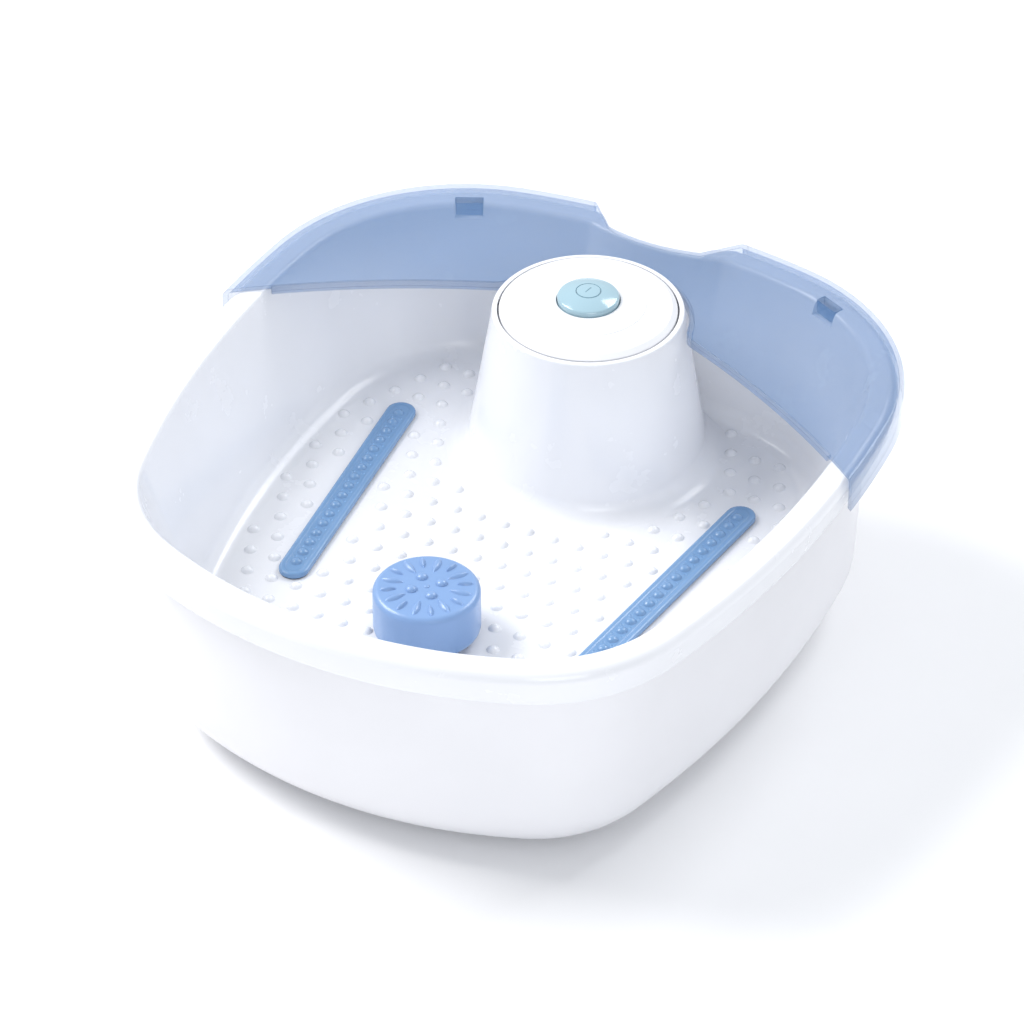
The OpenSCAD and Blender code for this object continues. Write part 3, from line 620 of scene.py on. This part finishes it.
class FOOTSPA_OT_tub(bpy.types.Operator):
    """Build the white tub with its rim, nubbed floor and hollow column"""

    bl_idname = "footspa.tub"
    bl_label = "Tub"

    def execute(self, context):
        s = sizes()
        outline = Outline(s)
        bm = bmesh.new()
        add_sweep(bm, outline, tub_section(s), closed=False)
        tub = made("tub", bm)
        bore = bmesh.new()
        slope = math.tan(s.col_draft)
        inner = s.wall / math.cos(s.col_draft)
        low, high = s.floor_z - 8 * MM, s.col_z + 5 * MM
        add_lathe(bore, [(0, low), (s.col_r - inner + (s.col_z - low) * slope, low),
                         (s.col_r - inner + (s.col_z - high) * slope, high), (0, high)],
                  (0, s.col_y, 0))
        joined(tub, made("bore", bore), "DIFFERENCE")
        for side in (-1, 1):
            joined(tub, clip_box(s, outline, side, *CLIP_NOTCH), "DIFFERENCE")
        bm = bmesh.new()
        bm.from_mesh(tub.data)
        self.column(bm, s)
        for x, y in nub_places(s, outline):
            self.nub(bm, s, x, y)
        self.seat(bm, s)
        bm.to_mesh(tub.data)
        bm.free()
        smooth(tub)
        evened(tub)
        placed(tub, "basin", ["basin_tub"], white_plastic())
        return {"FINISHED"}

    def column(self, bm, s):
        foot = column_foot(s)
        slope, inner = math.tan(s.col_draft), s.wall / math.cos(s.col_draft)
        z = s.col_z
        profile = arc(foot, s.floor_z + s.floor_round, s.floor_round, 270,
                      180 + math.degrees(s.col_draft), 12)
        (ra, za) = profile[-1]
        profile += [(ra + (s.col_r - ra) * i / 10, za + (z - 1.3 * MM - za) * i / 10)
                    for i in range(1, 10)]
        profile += arc(s.col_r - 1.1 * MM, z - 1.2 * MM, 1.2 * MM, 8, 90, 5)
        edge = s.col_r - inner
        profile += [(edge + 0.5 * MM, z), (edge + 0.1 * MM, z - 0.15 * MM), (edge, z - 0.5 * MM)]
        ledge = z - 5.5 * MM
        wide = edge + 5.5 * MM * slope
        profile += [(wide, ledge), (wide - 4 * MM, ledge), (wide - 4 * MM, ledge - 2.4 * MM),
                    (edge + 7.9 * MM * slope, ledge - 2.4 * MM),
                    (edge + (z - s.floor_z + 8 * MM) * slope, s.floor_z - 8 * MM)]
        add_lathe(bm, profile, (0, s.col_y, 0), 128)

    def nub(self, bm, s, x, y):
        rows = []
        for k in range(6):
            t = 1 - k / 5
            h = s.nub_h * (1 - t**2.6) ** 1.15 if t < 1 else 0.0
            rows.append((s.nub_r * t, s.floor_z + h - (0.02 * MM if k == 0 else 0)))
        add_lathe(bm, rows, (x, y, 0), 14)

    def seat(self, bm, s):
        z = s.floor_z
        r = 14 * MM
        add_lathe(bm, [(r + 1.2 * MM, z), (r + 0.3 * MM, z + 0.4 * MM), (r, z + 1.2 * MM),
                       (r, z + 3.6 * MM), (r - 0.4 * MM, z + 4 * MM), (8 * MM, z + 4 * MM),
                       (8 * MM, z + 16 * MM), (7 * MM, z + 17 * MM), (0, z + 17 * MM)],
                  (0, -s.disc_y, 0), 64)


class FOOTSPA_OT_shell(bpy.types.Operator):
    """Build the outer shell that hangs under the rim and tucks in at the base"""

    bl_idname = "footspa.shell"
    bl_label = "Outer shell"

    def execute(self, context):
        s = sizes()
        outline = Outline(s)
        top, low, thick = s.rim_h - s.skirt_h + 2 * MM, 4.5 * MM, 2.2 * MM
        tuck, dish = 33 * MM, 0.4
        turn_u = 17.5 * MM + tuck

        def face(d):
            bend = arc(turn_u, low + tuck, tuck - d, 180, 270, 14)
            (ua, za), (ub, zb) = (14 * MM + d, top), bend[0]
            rows = [(ua + (ub - ua) * i / 8, za + (zb - za) * i / 8, dish * (1 - i / 8))
                    for i in range(8)]
            return rows + [(u, z, 0) for u, z in bend] + [(turn_u + 9 * MM, low + d, 0)]

        bm = bmesh.new()
        add_sweep(bm, outline, face(0) + list(reversed(face(thick))))
        shell = made("outer_body", bm)
        gland_setback, gland_z = 17.601 * MM, 45 * MM
        turn = Matrix.Rotation(math.radians(-90), 4, "X")
        for r, start in ((8 * MM, -20 * MM), (11 * MM, -1 * MM)):
            bm = bmesh.new()
            add_lathe(bm, [(0, start), (r, start), (r, 30 * MM), (0, 30 * MM)],
                      (0, outline.rear_y - gland_setback, gland_z), 64, turn=turn)
            joined(shell, made("hole", bm), "DIFFERENCE")
        smooth(shell)
        evened(shell)
        f = finish_of()
        placed(shell, "basin", ["outer_shell"],
               plastic("Shell moulding", tuple(f.shell_white), gloss=f.gloss + 0.1,
                       grain=f.grain, coat=0.15, shade=0.03))
        return {"FINISHED"}


# ---------------------------------------------------------------- guard


def front_loop(s, grow):
    """Right and left halves of the guard's front edge, grown by a distance"""
    corner = Vector((s.body_w / 2, s.guard_y))
    hug = s.col_r + (s.col_z - s.rim_h) * math.tan(s.col_draft) + s.hug_gap
    inner = Vector((hug + 1.7 * MM, s.col_y + 6 * MM))
    chord = inner - corner
    normal = Vector((-chord.y, chord.x)).normalized()
    centre = (inner + corner) / 2 + normal * math.sqrt(s.guard_bow**2 - chord.length_squared / 4)
    hug, bow, fillet, past_side = hug + grow, s.guard_bow + grow, 9 * MM, 14 * MM
    hub = Vector((0, s.col_y))
    cross = Vector(meet(tuple(hub), hug + fillet, tuple(centre), bow + fillet, 1))
    end = math.acos((s.body_w / 2 + past_side - centre.x) / bow)
    # round the column, through the fillet, and along the bow to the side
    spans = ((hub, hug, math.pi / 2, heading(hub, cross), 40),
             (cross, fillet, heading(cross, hub), heading(cross, centre), 8),
             (centre, bow, heading(centre, cross), end, 40))
    right = [polar(c.x, c.y, r, a0 + (a1 - a0) * i / n)
             for c, r, a0, a1, n in spans for i in range(0 if c is hub else 1, n + 1)]
    return right, [(-x, y) for x, y in reversed(right[1:])]


class FOOTSPA_OT_guard(bpy.types.Operator):
    """Build the clear blue splash guard with its skirt, front lip and clips"""

    bl_idname = "footspa.guard"
    bl_label = "Splash guard"

    def execute(self, context):
        s = sizes()
        outline = Outline(s)
        out, t, top = s.guard_gap + s.guard_t, s.guard_t, s.rim_h + s.guard_t
        low = top - s.guard_skirt_h
        bend, under = 3.6 * MM, s.rim_h + 0.15 * MM
        skirt = [(u - out, z, 0) for u, z in arc(bend, top - bend, bend, 180, 90, 8)]
        section = ([(40 * MM, top, 0), (8 * MM, top, 0)] + list(reversed(skirt))
                   + [(-out, low, 0), (-s.guard_gap, low, 0), (-s.guard_gap, under - 1.2 * MM, 0),
                      (-s.guard_gap + 0.35 * MM, under - 0.35 * MM, 0),
                      (-s.guard_gap + 1.2 * MM, under, 0), (8 * MM, under, 0),
                      (40 * MM, under, 0)])
        bm = bmesh.new()
        add_sweep(bm, outline, section, closed=False)
        guard = made("clear_guard", bm)
        # lip, then the front opening cuts both to one edge
        right, left = front_loop(s, t)
        lip_loop = self.clipped(right + left, outline.loop(s.rim_w + 0.7 * MM))
        bm = bmesh.new()
        add_prism(bm, lip_loop, top - s.guard_lip_h, top - 0.6 * MM)
        joined(guard, made("lip", bm), "UNION")
        right, left = front_loop(s, 0)
        far = 0.4
        loop = right + [(right[-1][0] + far, right[-1][1] - 0.02), (far, -far), (-far, -far),
                        (left[0][0] - far, left[0][1] - 0.02)] + left
        bm = bmesh.new()
        add_prism(bm, loop, top - 0.06, top + 0.06)
        joined(guard, made("front", bm), "DIFFERENCE")
        half, band, rear = outline.notch_half, 11 * MM, outline.rear_y
        ring = s.notch_r + band
        reach = 24 * MM
        points = [polar(0, outline.notch_y, ring, math.radians(-90 + d)) for d in range(-16, 17, 2)]
        window = ([(-half - reach, rear + reach), (-half, rear - 1 * MM)] + points
                  + [(half, rear - 1 * MM), (half + reach, rear + reach)])
        bm = bmesh.new()
        add_prism(bm, window, top - 0.06, top + 0.06)
        joined(guard, made("window", bm), "DIFFERENCE")
        for side in (-1, 1):
            joined(guard, clip_box(s, outline, side, *CLIP), "UNION")
        f = finish_of()
        clear = clear_plastic("Clear blue moulding", tuple(f.guard_blue), f.guard_cover, 0.75)
        # darker, denser blue on the bevels: partly the sheet's colour seen through its thickness,
        # partly painted edge shade
        edge = clear_plastic("Guard edge", tuple(c * 0.5 for c in f.guard_blue), 0.78, 0.92)
        guard.data.materials.clear()
        guard.data.materials.append(clear)
        guard.data.materials.append(edge)
        rounded(guard, 0.55 * MM, limit=45, segments=2, material=1)
        smooth(guard, 50)
        evened(guard)
        placed(guard, "guard", ["splash_guard"], None)
        return {"FINISHED"}

    def clipped(self, loop, limit):
        """Part of the grown front edge that lies inside the rim, with a plain front side"""
        right = [p for p in loop[:len(loop) // 2 + 1] if inside(p, limit)]
        mirror = [(-x, y) for x, y in reversed(right[1:])]
        back = [(right[-1][0] - 6 * MM, right[-1][1] - 12 * MM)]
        return right + back + [(-x, y) for x, y in reversed(back)] + mirror


# ---------------------------------------------------------------- control head


class FOOTSPA_OT_head(bpy.types.Operator):
    """Build the control cap and its domed push button"""

    bl_idname = "footspa.head"
    bl_label = "Control head"

    def execute(self, context):
        s = sizes()
        inner = s.wall / math.cos(s.col_draft)
        cap_r, low = s.col_r - inner - 0.9 * MM, s.col_z - 4.5 * MM
        hole, groove, thick = s.button_r + 0.4 * MM, 31 * MM, 2.4 * MM
        rim = cap_r - 3 * MM

        def crown(r):
            return s.col_z + s.cap_rise - s.cap_drop * (r / rim) ** 2

        profile = [(cap_r - 2.2 * MM, low), (cap_r, low), (cap_r, s.col_z - 0.6 * MM)]
        profile += arc(cap_r - 0.9 * MM, s.col_z - 0.4 * MM, 0.9 * MM, 0, 40, 3)
        profile += [(rim + 0.5 * MM, crown(rim) - 0.32 * MM),
                    (rim + 0.15 * MM, crown(rim) - 0.08 * MM),
                    (rim - 0.5 * MM, crown(rim - 0.5 * MM))]
        outer = [rim - 0.5 * MM + (groove + 1.3 * MM - rim) * i / 8 for i in range(1, 8)]
        profile += [(r, crown(r)) for r in outer]
        for r, down in ((groove + 0.8, 0), (groove + 0.5, 0.12), (groove + 0.3, 0.4),
                        (groove - 1.3, 0.4), (groove - 1.5, 0.12), (groove - 1.8, 0)):
            r = groove + (r - groove) * MM
            profile.append((r, crown(r) - down * MM))
        near = groove - 1.8 * MM
        inner = [near + (hole + 0.7 * MM - near) * i / 8 for i in range(1, 9)]
        profile += [(r, crown(r)) for r in inner]
        profile += [(hole + 0.2 * MM, crown(hole) - 0.15 * MM), (hole, crown(hole) - 0.5 * MM),
                    (hole, crown(hole) - thick)]
        profile += [(r, crown(r) - thick) for r in (22 * MM, 28 * MM, 34 * MM, rim)]
        profile.append((cap_r - 2.2 * MM, s.col_z - 1.6 * MM))
        bm = bmesh.new()
        add_lathe(bm, profile, (0, s.col_y, 0), 144, closed=True)
        post_at, bore, post_r = 32 * MM, 1.75 * MM, 3.4 * MM
        high, end = crown(34 * MM) - thick + 0.2 * MM, s.col_z - 23.9 * MM
        for k in range(3):
            add_lathe(bm, [(bore, high), (bore, end), (post_r, end), (post_r, high)],
                      (*polar(0, s.col_y, post_at, math.radians(30 + 120 * k)), 0), 24)
        cap = made("control_cap", bm, sharp=42)
        evened(cap)
        placed(cap, "basin", ["column_cap"], white_plastic())
        self.button(s, crown(hole))
        return {"FINISHED"}

    def button(self, s, top):
        r, high = s.button_r, s.col_z + s.cap_rise + s.button_h
        low, edge, flange = top - 4.3 * MM, top + 1.2 * MM, 1.6 * MM
        profile = [(0, low), (r + 2 * MM, low), (r + 2 * MM, low + flange), (r, low + flange),
                   (r, edge - 0.2 * MM)]
        profile += arc(r - 1.7 * MM, edge, 1.7 * MM, 0, 62, 7)
        (ra, za) = profile[-1]
        profile += [(ra * (1 - i / 16), high - (high - za) * (1 - i / 16) ** 2)
                    for i in range(1, 17)]
        bm = bmesh.new()
        add_lathe(bm, profile, (0, s.col_y, 0), 96)
        button = made("push_button", bm, sharp=45)
        ring = bmesh.new()
        add_lathe(ring, [(6.0 * MM, high - 1.25 * MM), (6.5 * MM, high - 1.25 * MM),
                         (6.75 * MM, high + 1 * MM), (5.75 * MM, high + 1 * MM)],
                  (0, s.col_y, 0), 64, closed=True)
        joined(button, made("ring", ring), "DIFFERENCE")
        mark = bmesh.new()
        place = Matrix.Translation((0, s.col_y, high)) @ Matrix.Rotation(
            math.radians(-8), 4, "Z")
        bmesh.ops.create_cube(mark, size=1.0,
                              matrix=place @ Matrix.Diagonal((0.8 * MM, 5 * MM, 0.7 * MM, 1)))
        joined(button, made("mark", mark), "DIFFERENCE")
        bm = bmesh.new()
        bm.from_mesh(button.data)
        stem_r, stem_top, stem_end = 3 * MM, low + 0.4 * MM, s.col_z - 13.5 * MM
        add_lathe(bm, [(0, stem_top), (stem_r, stem_top), (stem_r, stem_end), (0, stem_end)],
                  (0, s.col_y, 0), 32)
        bm.to_mesh(button.data)
        bm.free()
        smooth(button, 40)
        evened(button)
        f = finish_of()
        placed(button, "button", ["control_button"],
               plastic("Button gloss", tuple(f.button_blue), gloss=0.16, grain=0.12, coat=0.6,
                       shade=0.06))


# ---------------------------------------------------------------- massage pieces


def stadium(l, w, n=12):
    half = (l - w) / 2
    right = [(w / 2 * math.cos(a), half + w / 2 * math.sin(a))
             for a in [math.pi * i / n for i in range(n + 1)]]
    return right + [(-x, -y) for x, y in right]


class FOOTSPA_OT_strips(bpy.types.Operator):
    """Build the two bubble strips with their nubs and air holes"""

    bl_idname = "footspa.strips"
    bl_label = "Bubble strips"

    def execute(self, context):
        for side, name in ((-1, "left"), (1, "right")):
            self.strip(sizes(), side, name)
        return {"FINISHED"}

    def strip(self, s, side, name):
        base, top = s.floor_z + 0.8 * MM, s.floor_z + 3.3 * MM
        bm = bmesh.new()
        rows = [(0, base), (0, top - 1.1 * MM), (0.25 * MM, top - 0.5 * MM),
                (0.8 * MM, top - 0.1 * MM), (1.5 * MM, top), (2.6 * MM, top),
                (2.9 * MM, top - 0.35 * MM), (3.5 * MM, top - 0.35 * MM), (3.8 * MM, top)]
        rings = []
        for d, z in rows:
            rings.append([bm.verts.new((x, y, z))
                          for x, y in stadium(s.strip_l - 2 * d, s.strip_w - 2 * d)])
        n = len(rings[0])
        for a, b in zip(rings, rings[1:]):
            for i in range(n):
                bm.faces.new((a[i], a[(i + 1) % n], b[(i + 1) % n], b[i]))
        bm.faces.new(list(reversed(rings[0])))
        bm.faces.new(rings[-1])
        add_prism(bm, stadium(s.strip_l - 11 * MM, s.strip_w - 6.5 * MM),
                  s.floor_z - 10.2 * MM, base + 0.4 * MM)
        inlet_r, inlet_end, inlet_y = 5.5 * MM, s.floor_z - 15.2 * MM, 34 * MM
        add_lathe(bm, [(3.4 * MM, inlet_end), (inlet_r, inlet_end),
                       (inlet_r, s.floor_z - 9.8 * MM)], (0, inlet_y, 0), 32)
        pitch, air_x = 8.4 * MM, 2.604 * MM
        for i in range(-8, 9):
            y = i * pitch
            add_lathe(bm, [(2.9 * MM, top - 0.03 * MM), (2.75 * MM, top + 0.25 * MM),
                           (2.2 * MM, top + 0.95 * MM), (1.3 * MM, top + 1.42 * MM),
                           (0, top + 1.58 * MM)], (0, y, 0), 20)
            for across in (-1, 1) if i < 8 else ():
                add_lathe(bm, [(0.45 * MM, top - 0.5 * MM), (0.5 * MM, top + 0.12 * MM),
                               (0.95 * MM, top + 0.12 * MM), (1.15 * MM, top - 0.1 * MM)],
                          (across * air_x, y + pitch / 2, 0), 12)
        place = (Matrix.Translation((side * s.strip_x, STRIP_Y, 0))
                 @ Matrix.Rotation(-side * s.strip_toe, 4, "Z"))
        bmesh.ops.transform(bm, matrix=place, verts=bm.verts)
        strip = made(f"{name}_strip", bm, sharp=50)
        evened(strip)
        f = finish_of()
        placed(strip, "basin", [f"{name}_bubble_strip"],
               blue_plastic("Strip blue", tuple(f.strip_blue), 0.22))


class FOOTSPA_OT_disc(bpy.types.Operator):
    """Build the massage disc with its domes and petals"""

    bl_idname = "footspa.disc"
    bl_label = "Massage disc"

    def execute(self, context):
        s = sizes()
        low, high, r = s.floor_z + 4 * MM, s.floor_z + 4 * MM + s.disc_h, s.disc_r
        face, turn = high - 2.3 * MM, 3.4 * MM
        profile = [(0, low + 14 * MM), (8.35 * MM, low + 13.6 * MM), (8.35 * MM, low + 0.6 * MM),
                   (9 * MM, low), (r - 2.4 * MM, low), (r - 1 * MM, low + 0.5 * MM),
                   (r - 0.3 * MM, low + 1.4 * MM), (r, low + 3 * MM), (r, face - turn - 1 * MM)]
        profile += arc(r - turn, face - turn, turn, 0, 84, 10)
        (ra, za) = profile[-1]
        profile += [(ra * (1 - i / 8), za + 0.35 * MM * math.sin(math.pi / 2 * i / 8))
                    for i in range(1, 9)]
        bm = bmesh.new()
        add_lathe(bm, profile, (0, 0, 0), 112)
        petals = 16
        for k in range(petals):
            start, wide = (0.42, 2.9) if k % 2 == 0 else (0.55, 2.0)
            self.petal(bm, 2 * math.pi * (k + 0.5) / petals, r, start * r, 0.87 * r, wide, face)
        for k in range(4):
            self.dome(bm, polar(0, 0, 0.29 * r, math.pi / 2 * k + math.pi / 4), 2.9 * MM,
                      2.2 * MM, face)
        self.dome(bm, (0, 0), 1.7 * MM, 1.0 * MM, face)
        bmesh.ops.translate(bm, vec=(0, -s.disc_y, 0), verts=bm.verts)
        disc = made("rub_disc", bm, sharp=48)
        evened(disc)
        f = finish_of()
        placed(disc, "disc", ["massage_disc"],
               blue_plastic("Disc blue", tuple(f.disc_blue), 0.34))
        return {"FINISHED"}

    def dome(self, bm, at, r, h, z):
        rows = [(r * math.cos(t), z + h * math.sin(t)) for t in
                [math.pi / 2 * i / 7 for i in range(8)]]
        rows[-1] = (0, z + h)
        add_lathe(bm, [(r + 0.6 * MM, z - 0.1 * MM)] + rows, (*at, 0), 24)

    def petal(self, bm, a, r, r0, r1, wide, z):
        """Raised leaf that tapers to a point at each end and follows the disc's rounded edge"""
        n, rows, turn = 14, [], 3.4 * MM
        for i in range(n + 1):
            t = i / n
            along = r0 + (r1 - r0) * t
            half = wide * MM * math.sin(math.pi * t) ** 0.7 * (0.55 + 0.45 * t)
            drop = max(0.0, along - (r - turn))
            base = z - drop**2 / (2 * turn) + 0.25 * MM
            row = []
            for j in range(7):
                v = -1 + j / 3
                h = 1.7 * MM * (1 - abs(v) ** 1.8) * math.sin(math.pi * t) ** 0.5 - 0.35 * MM
                x, y = along, half * v
                row.append(bm.verts.new((x * math.cos(a) - y * math.sin(a),
                                         x * math.sin(a) + y * math.cos(a), base + h)))
            rows.append(row)
        for ra, rb in zip(rows, rows[1:]):
            for j in range(6):
                bm.faces.new((ra[j], rb[j], rb[j + 1], ra[j + 1]))


# ---------------------------------------------------------------- base and drives


class FOOTSPA_OT_base(bpy.types.Operator):
    """Finish the base plate, feet, screws and lead gland"""

    bl_idname = "footspa.base"
    bl_label = "Base"

    def execute(self, context):
        grey = plastic("Base moulding", (0.52, 0.53, 0.56), gloss=0.5, grain=0.9, bump=0.25)
        rubber = plastic("Foot rubber", (0.035, 0.035, 0.04), gloss=0.7, grain=1.0, bump=0.4)
        dark = plastic("Gland moulding", (0.16, 0.165, 0.18), gloss=0.45, grain=0.8, bump=0.2)
        for name, mat, bevel in (("base_plate", grey, 0.35), ("rubber_feet", rubber, 0.3),
                                 ("inlet_gland", dark, 0.3)):
            dressed(name, mat, bevel)
        self.screws()
        return {"FINISHED"}

    def screws(self):
        """Cross-headed screws in the base plate's cups"""
        steel = plastic("Zinc steel", (0.62, 0.62, 0.63), gloss=0.3, grain=0.5, metal=1.0,
                        bump=0.12)
        bm = bmesh.new()
        points = [v.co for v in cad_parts["base_screws"].data.vertices]
        low, apart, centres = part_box("base_screws")[0].z, 12 * MM, []
        for co in points:
            if all(math.hypot(co.x - x, co.y - y) > apart for x, y in centres):
                own = [p for p in points if math.hypot(p.x - co.x, p.y - co.y) < apart]
                centres.append([(min(p[i] for p in own) + max(p[i] for p in own)) / 2
                                for i in (0, 1)])
        for x, y in centres:
            add_lathe(bm, [(0, low + 1.2 * MM), (0.5 * MM, low + 1.2 * MM), (1.0 * MM, low),
                           (2.6 * MM, low + 0.1 * MM), (3.3 * MM, low + 0.5 * MM),
                           (3.6 * MM, low + 1.2 * MM), (3.6 * MM, low + 2.2 * MM),
                           (1.75 * MM, low + 2.2 * MM)], (x, y, 0), 32)
            rows = [((1.75 if k % 2 else 1.3) * MM, low + (2.2 + k * 0.55) * MM)
                    for k in range(29)]
            add_lathe(bm, rows + [(0, rows[-1][1] + 0.3 * MM)], (x, y, 0), 16)
            for a in (0, math.pi / 2):
                place = (Matrix.Translation((x, y, low + 0.5 * MM))
                         @ Matrix.Rotation(a + 0.5, 4, "Z"))
                bmesh.ops.create_cube(bm, size=1.0, matrix=place @ Matrix.Diagonal(
                    (3.4 * MM, 0.7 * MM, 1.0 * MM, 1)))
        screws = made("base_fixings", bm, sharp=40)
        placed(screws, "basin", ["base_screws"], steel)


def dressed(name, material, bevel=0.0):
    """Gives a frame node its finish, and softens its edges"""
    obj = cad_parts[name]
    obj.data.materials.clear()
    obj.data.materials.append(material)
    if bevel:
        mod = obj.modifiers.new("edges", "BEVEL")
        mod.width, mod.segments, mod.limit_method = bevel * MM, 2, "ANGLE"
        mod.angle_limit = math.radians(50)
        mod.use_clamp_overlap = True
    return obj


# name, colour, roughness, grain, metal, bump, shade, and the frame nodes that have the finish
DRIVE_FINISHES = (
    ("Seal rubber", (0.05, 0.05, 0.055), 0.65, 0.8, 0.0, 0.3, 0.05,
     "cap_seal left_strip_seal right_strip_seal"),
    ("Inner moulding", (0.15, 0.155, 0.165), 0.5, 0.9, 0.0, 0.25, 0.05,
     "spring_seat blower_housing blower_cover vibration_cradle"),
    ("Inner white", (0.66, 0.66, 0.62), 0.4, 0.6, 0.0, 0.15, 0.05,
     "blower_impeller left_air_valve right_air_valve"),
    ("Switch black", (0.012, 0.012, 0.014), 0.4, 0.5, 0.0, 0.15, 0.05,
     "push_switch switch_plunger thermal_cutout"),
    ("Plated steel", (0.60, 0.60, 0.62), 0.3, 0.5, 1.0, 0.1, 0.05,
     "button_spring board_screws blower_screws blower_motor blower_shaft cradle_screws "
     "vibration_motor vibration_shaft"),
    ("Turned brass", (0.55, 0.40, 0.14), 0.28, 0.5, 1.0, 0.1, 0.05, "eccentric_weight"),
    ("Plain aluminium", (0.66, 0.67, 0.69), 0.4, 0.7, 1.0, 0.15, 0.05, "heater_plate"),
    ("Board green", (0.012, 0.12, 0.045), 0.3, 0.5, 0.0, 0.1, 0.3, "control_board power_board"),
    ("Varnished core", (0.05, 0.045, 0.05), 0.4, 0.9, 0.0, 0.3, 0.05, "transformer"),
    ("Soft hose", (0.50, 0.52, 0.50), 0.35, 0.4, 0.0, 0.1, 0.05, "left_air_hose right_air_hose"),
    ("Red wire", (0.38, 0.02, 0.015), 0.4, 0.4, 0.0, 0.1, 0.05, "column_wires"),
    ("Grey wire", (0.13, 0.13, 0.145), 0.45, 0.5, 0.0, 0.15, 0.05, "supply_wire"),
)


class FOOTSPA_OT_drives(bpy.types.Operator):
    """Finish the blower, the vibration motor, the heater, the boards and their wires"""

    bl_idname = "footspa.drives"
    bl_label = "Drives and boards"

    def execute(self, context):
        for label, base, gloss, grain, metal, bump, shade, names in DRIVE_FINISHES:
            finish = plastic(label, base, gloss=gloss, grain=grain, shade=shade, bump=bump,
                             metal=metal)
            for name in names.split():
                dressed(name, finish)
        return {"FINISHED"}


# ---------------------------------------------------------------- stage


class FOOTSPA_OT_stage(bpy.types.Operator):
    """Set the pale floor, the soft lights and the camera"""

    bl_idname = "footspa.stage"
    bl_label = "Stage"

    def execute(self, context):
        scene = context.scene
        scene.view_settings.view_transform = "Standard"
        cam = bpy.data.cameras.new("camera")
        cam.lens, cam.sensor_width = 181.66, 36.0
        cam.clip_start, cam.clip_end = 0.1, 30.0
        eye = bpy.data.objects.new("camera", cam)
        scene.collection.objects.link(eye)
        az, el, far = math.radians(27.26), math.radians(37.36), 2.617
        back = Vector((math.sin(az) * math.cos(el), -math.cos(az) * math.cos(el), math.sin(el)))
        look = Vector((-8.3 * MM, 29.0 * MM, 57.6 * MM))
        eye.location = look + back * far
        eye.rotation_mode = "QUATERNION"
        eye.rotation_quaternion = (-back).to_track_quat("-Z", "Y")
        scene.camera = eye
        bm = bmesh.new()
        add_prism(bm, [(-6, -6), (6, -6), (6, 6), (-6, 6)], -0.02, 0.0)
        floor = made("stage_floor", bm)
        floor.data.materials.append(self.floor_paint())
        world = bpy.data.worlds.new("studio")
        scene.world = world
        world.use_nodes = True
        sky = world.node_tree.nodes["Background"]
        sky.inputs[0].default_value = (0.93, 0.96, 1.0, 1)
        sky.inputs[1].default_value = 0.62
        for name, place, size, power, tint in (
            ("key", (-1.7, -0.2, 1.9), 1.3, 62, (1.0, 0.99, 0.98)),
            ("fill", (1.6, -1.9, 1.2), 1.4, 20, (0.96, 0.98, 1.0)),
            ("back", (0.7, 1.9, 2.0), 1.2, 32, (0.97, 0.98, 1.0)),
        ):
            lamp = bpy.data.lights.new(name, "AREA")
            lamp.size, lamp.energy, lamp.color = size, power, tint
            obj = bpy.data.objects.new(name, lamp)
            scene.collection.objects.link(obj)
            obj.location = place
            obj.rotation_mode = "QUATERNION"
            aim = Vector((0, 0, 80 * MM)) - Vector(place)
            obj.rotation_quaternion = aim.to_track_quat("-Z", "Y")
        return {"FINISHED"}

    def floor_paint(self):
        return plastic("Pale floor", (0.90, 0.90, 0.91), gloss=0.6, grain=0.2, shade=0.01,
                       bump=0.01)


# ---------------------------------------------------------------- panel and running


OPERATORS = (FOOTSPA_OT_stage, FOOTSPA_OT_tub, FOOTSPA_OT_shell, FOOTSPA_OT_guard,
             FOOTSPA_OT_head, FOOTSPA_OT_strips, FOOTSPA_OT_disc, FOOTSPA_OT_base,
             FOOTSPA_OT_drives)


class FOOTSPA_PT_panel(bpy.types.Panel):
    """Lists the pieces of the foot spa"""

    bl_idname = "FOOTSPA_PT_panel"
    bl_label = "Foot Spa"
    bl_space_type = "VIEW_3D"
    bl_region_type = "UI"
    bl_category = "Foot Spa"

    def draw(self, context):
        for op in OPERATORS:
            self.layout.operator(op.bl_idname)
        for group_name in ("foot_spa_sizes", "foot_spa_finish"):
            group_data = getattr(context.scene, group_name)
            column = self.layout.column()
            for key in group_data.bl_rna.properties.keys():
                if key not in ("rna_type", "name"):
                    column.prop(group_data, key)


CLASSES = (FootSpaSizes, FootSpaFinish, *OPERATORS, FOOTSPA_PT_panel)


def register():
    for cls in CLASSES:
        bpy.utils.register_class(cls)
    bpy.types.Scene.foot_spa_sizes = PointerProperty(type=FootSpaSizes)
    bpy.types.Scene.foot_spa_finish = PointerProperty(type=FootSpaFinish)


def unregister():
    del bpy.types.Scene.foot_spa_finish
    del bpy.types.Scene.foot_spa_sizes
    for cls in reversed(CLASSES):
        bpy.utils.unregister_class(cls)


def main():
    register()
    for op in OPERATORS:
        category, name = op.bl_idname.split(".")
        result = getattr(getattr(bpy.ops, category), name)()
        if result != {"FINISHED"}:
            raise RuntimeError(f"{op.bl_label} was not finished")
    bpy.context.view_layer.update()


if __name__ == "__main__":
    main()
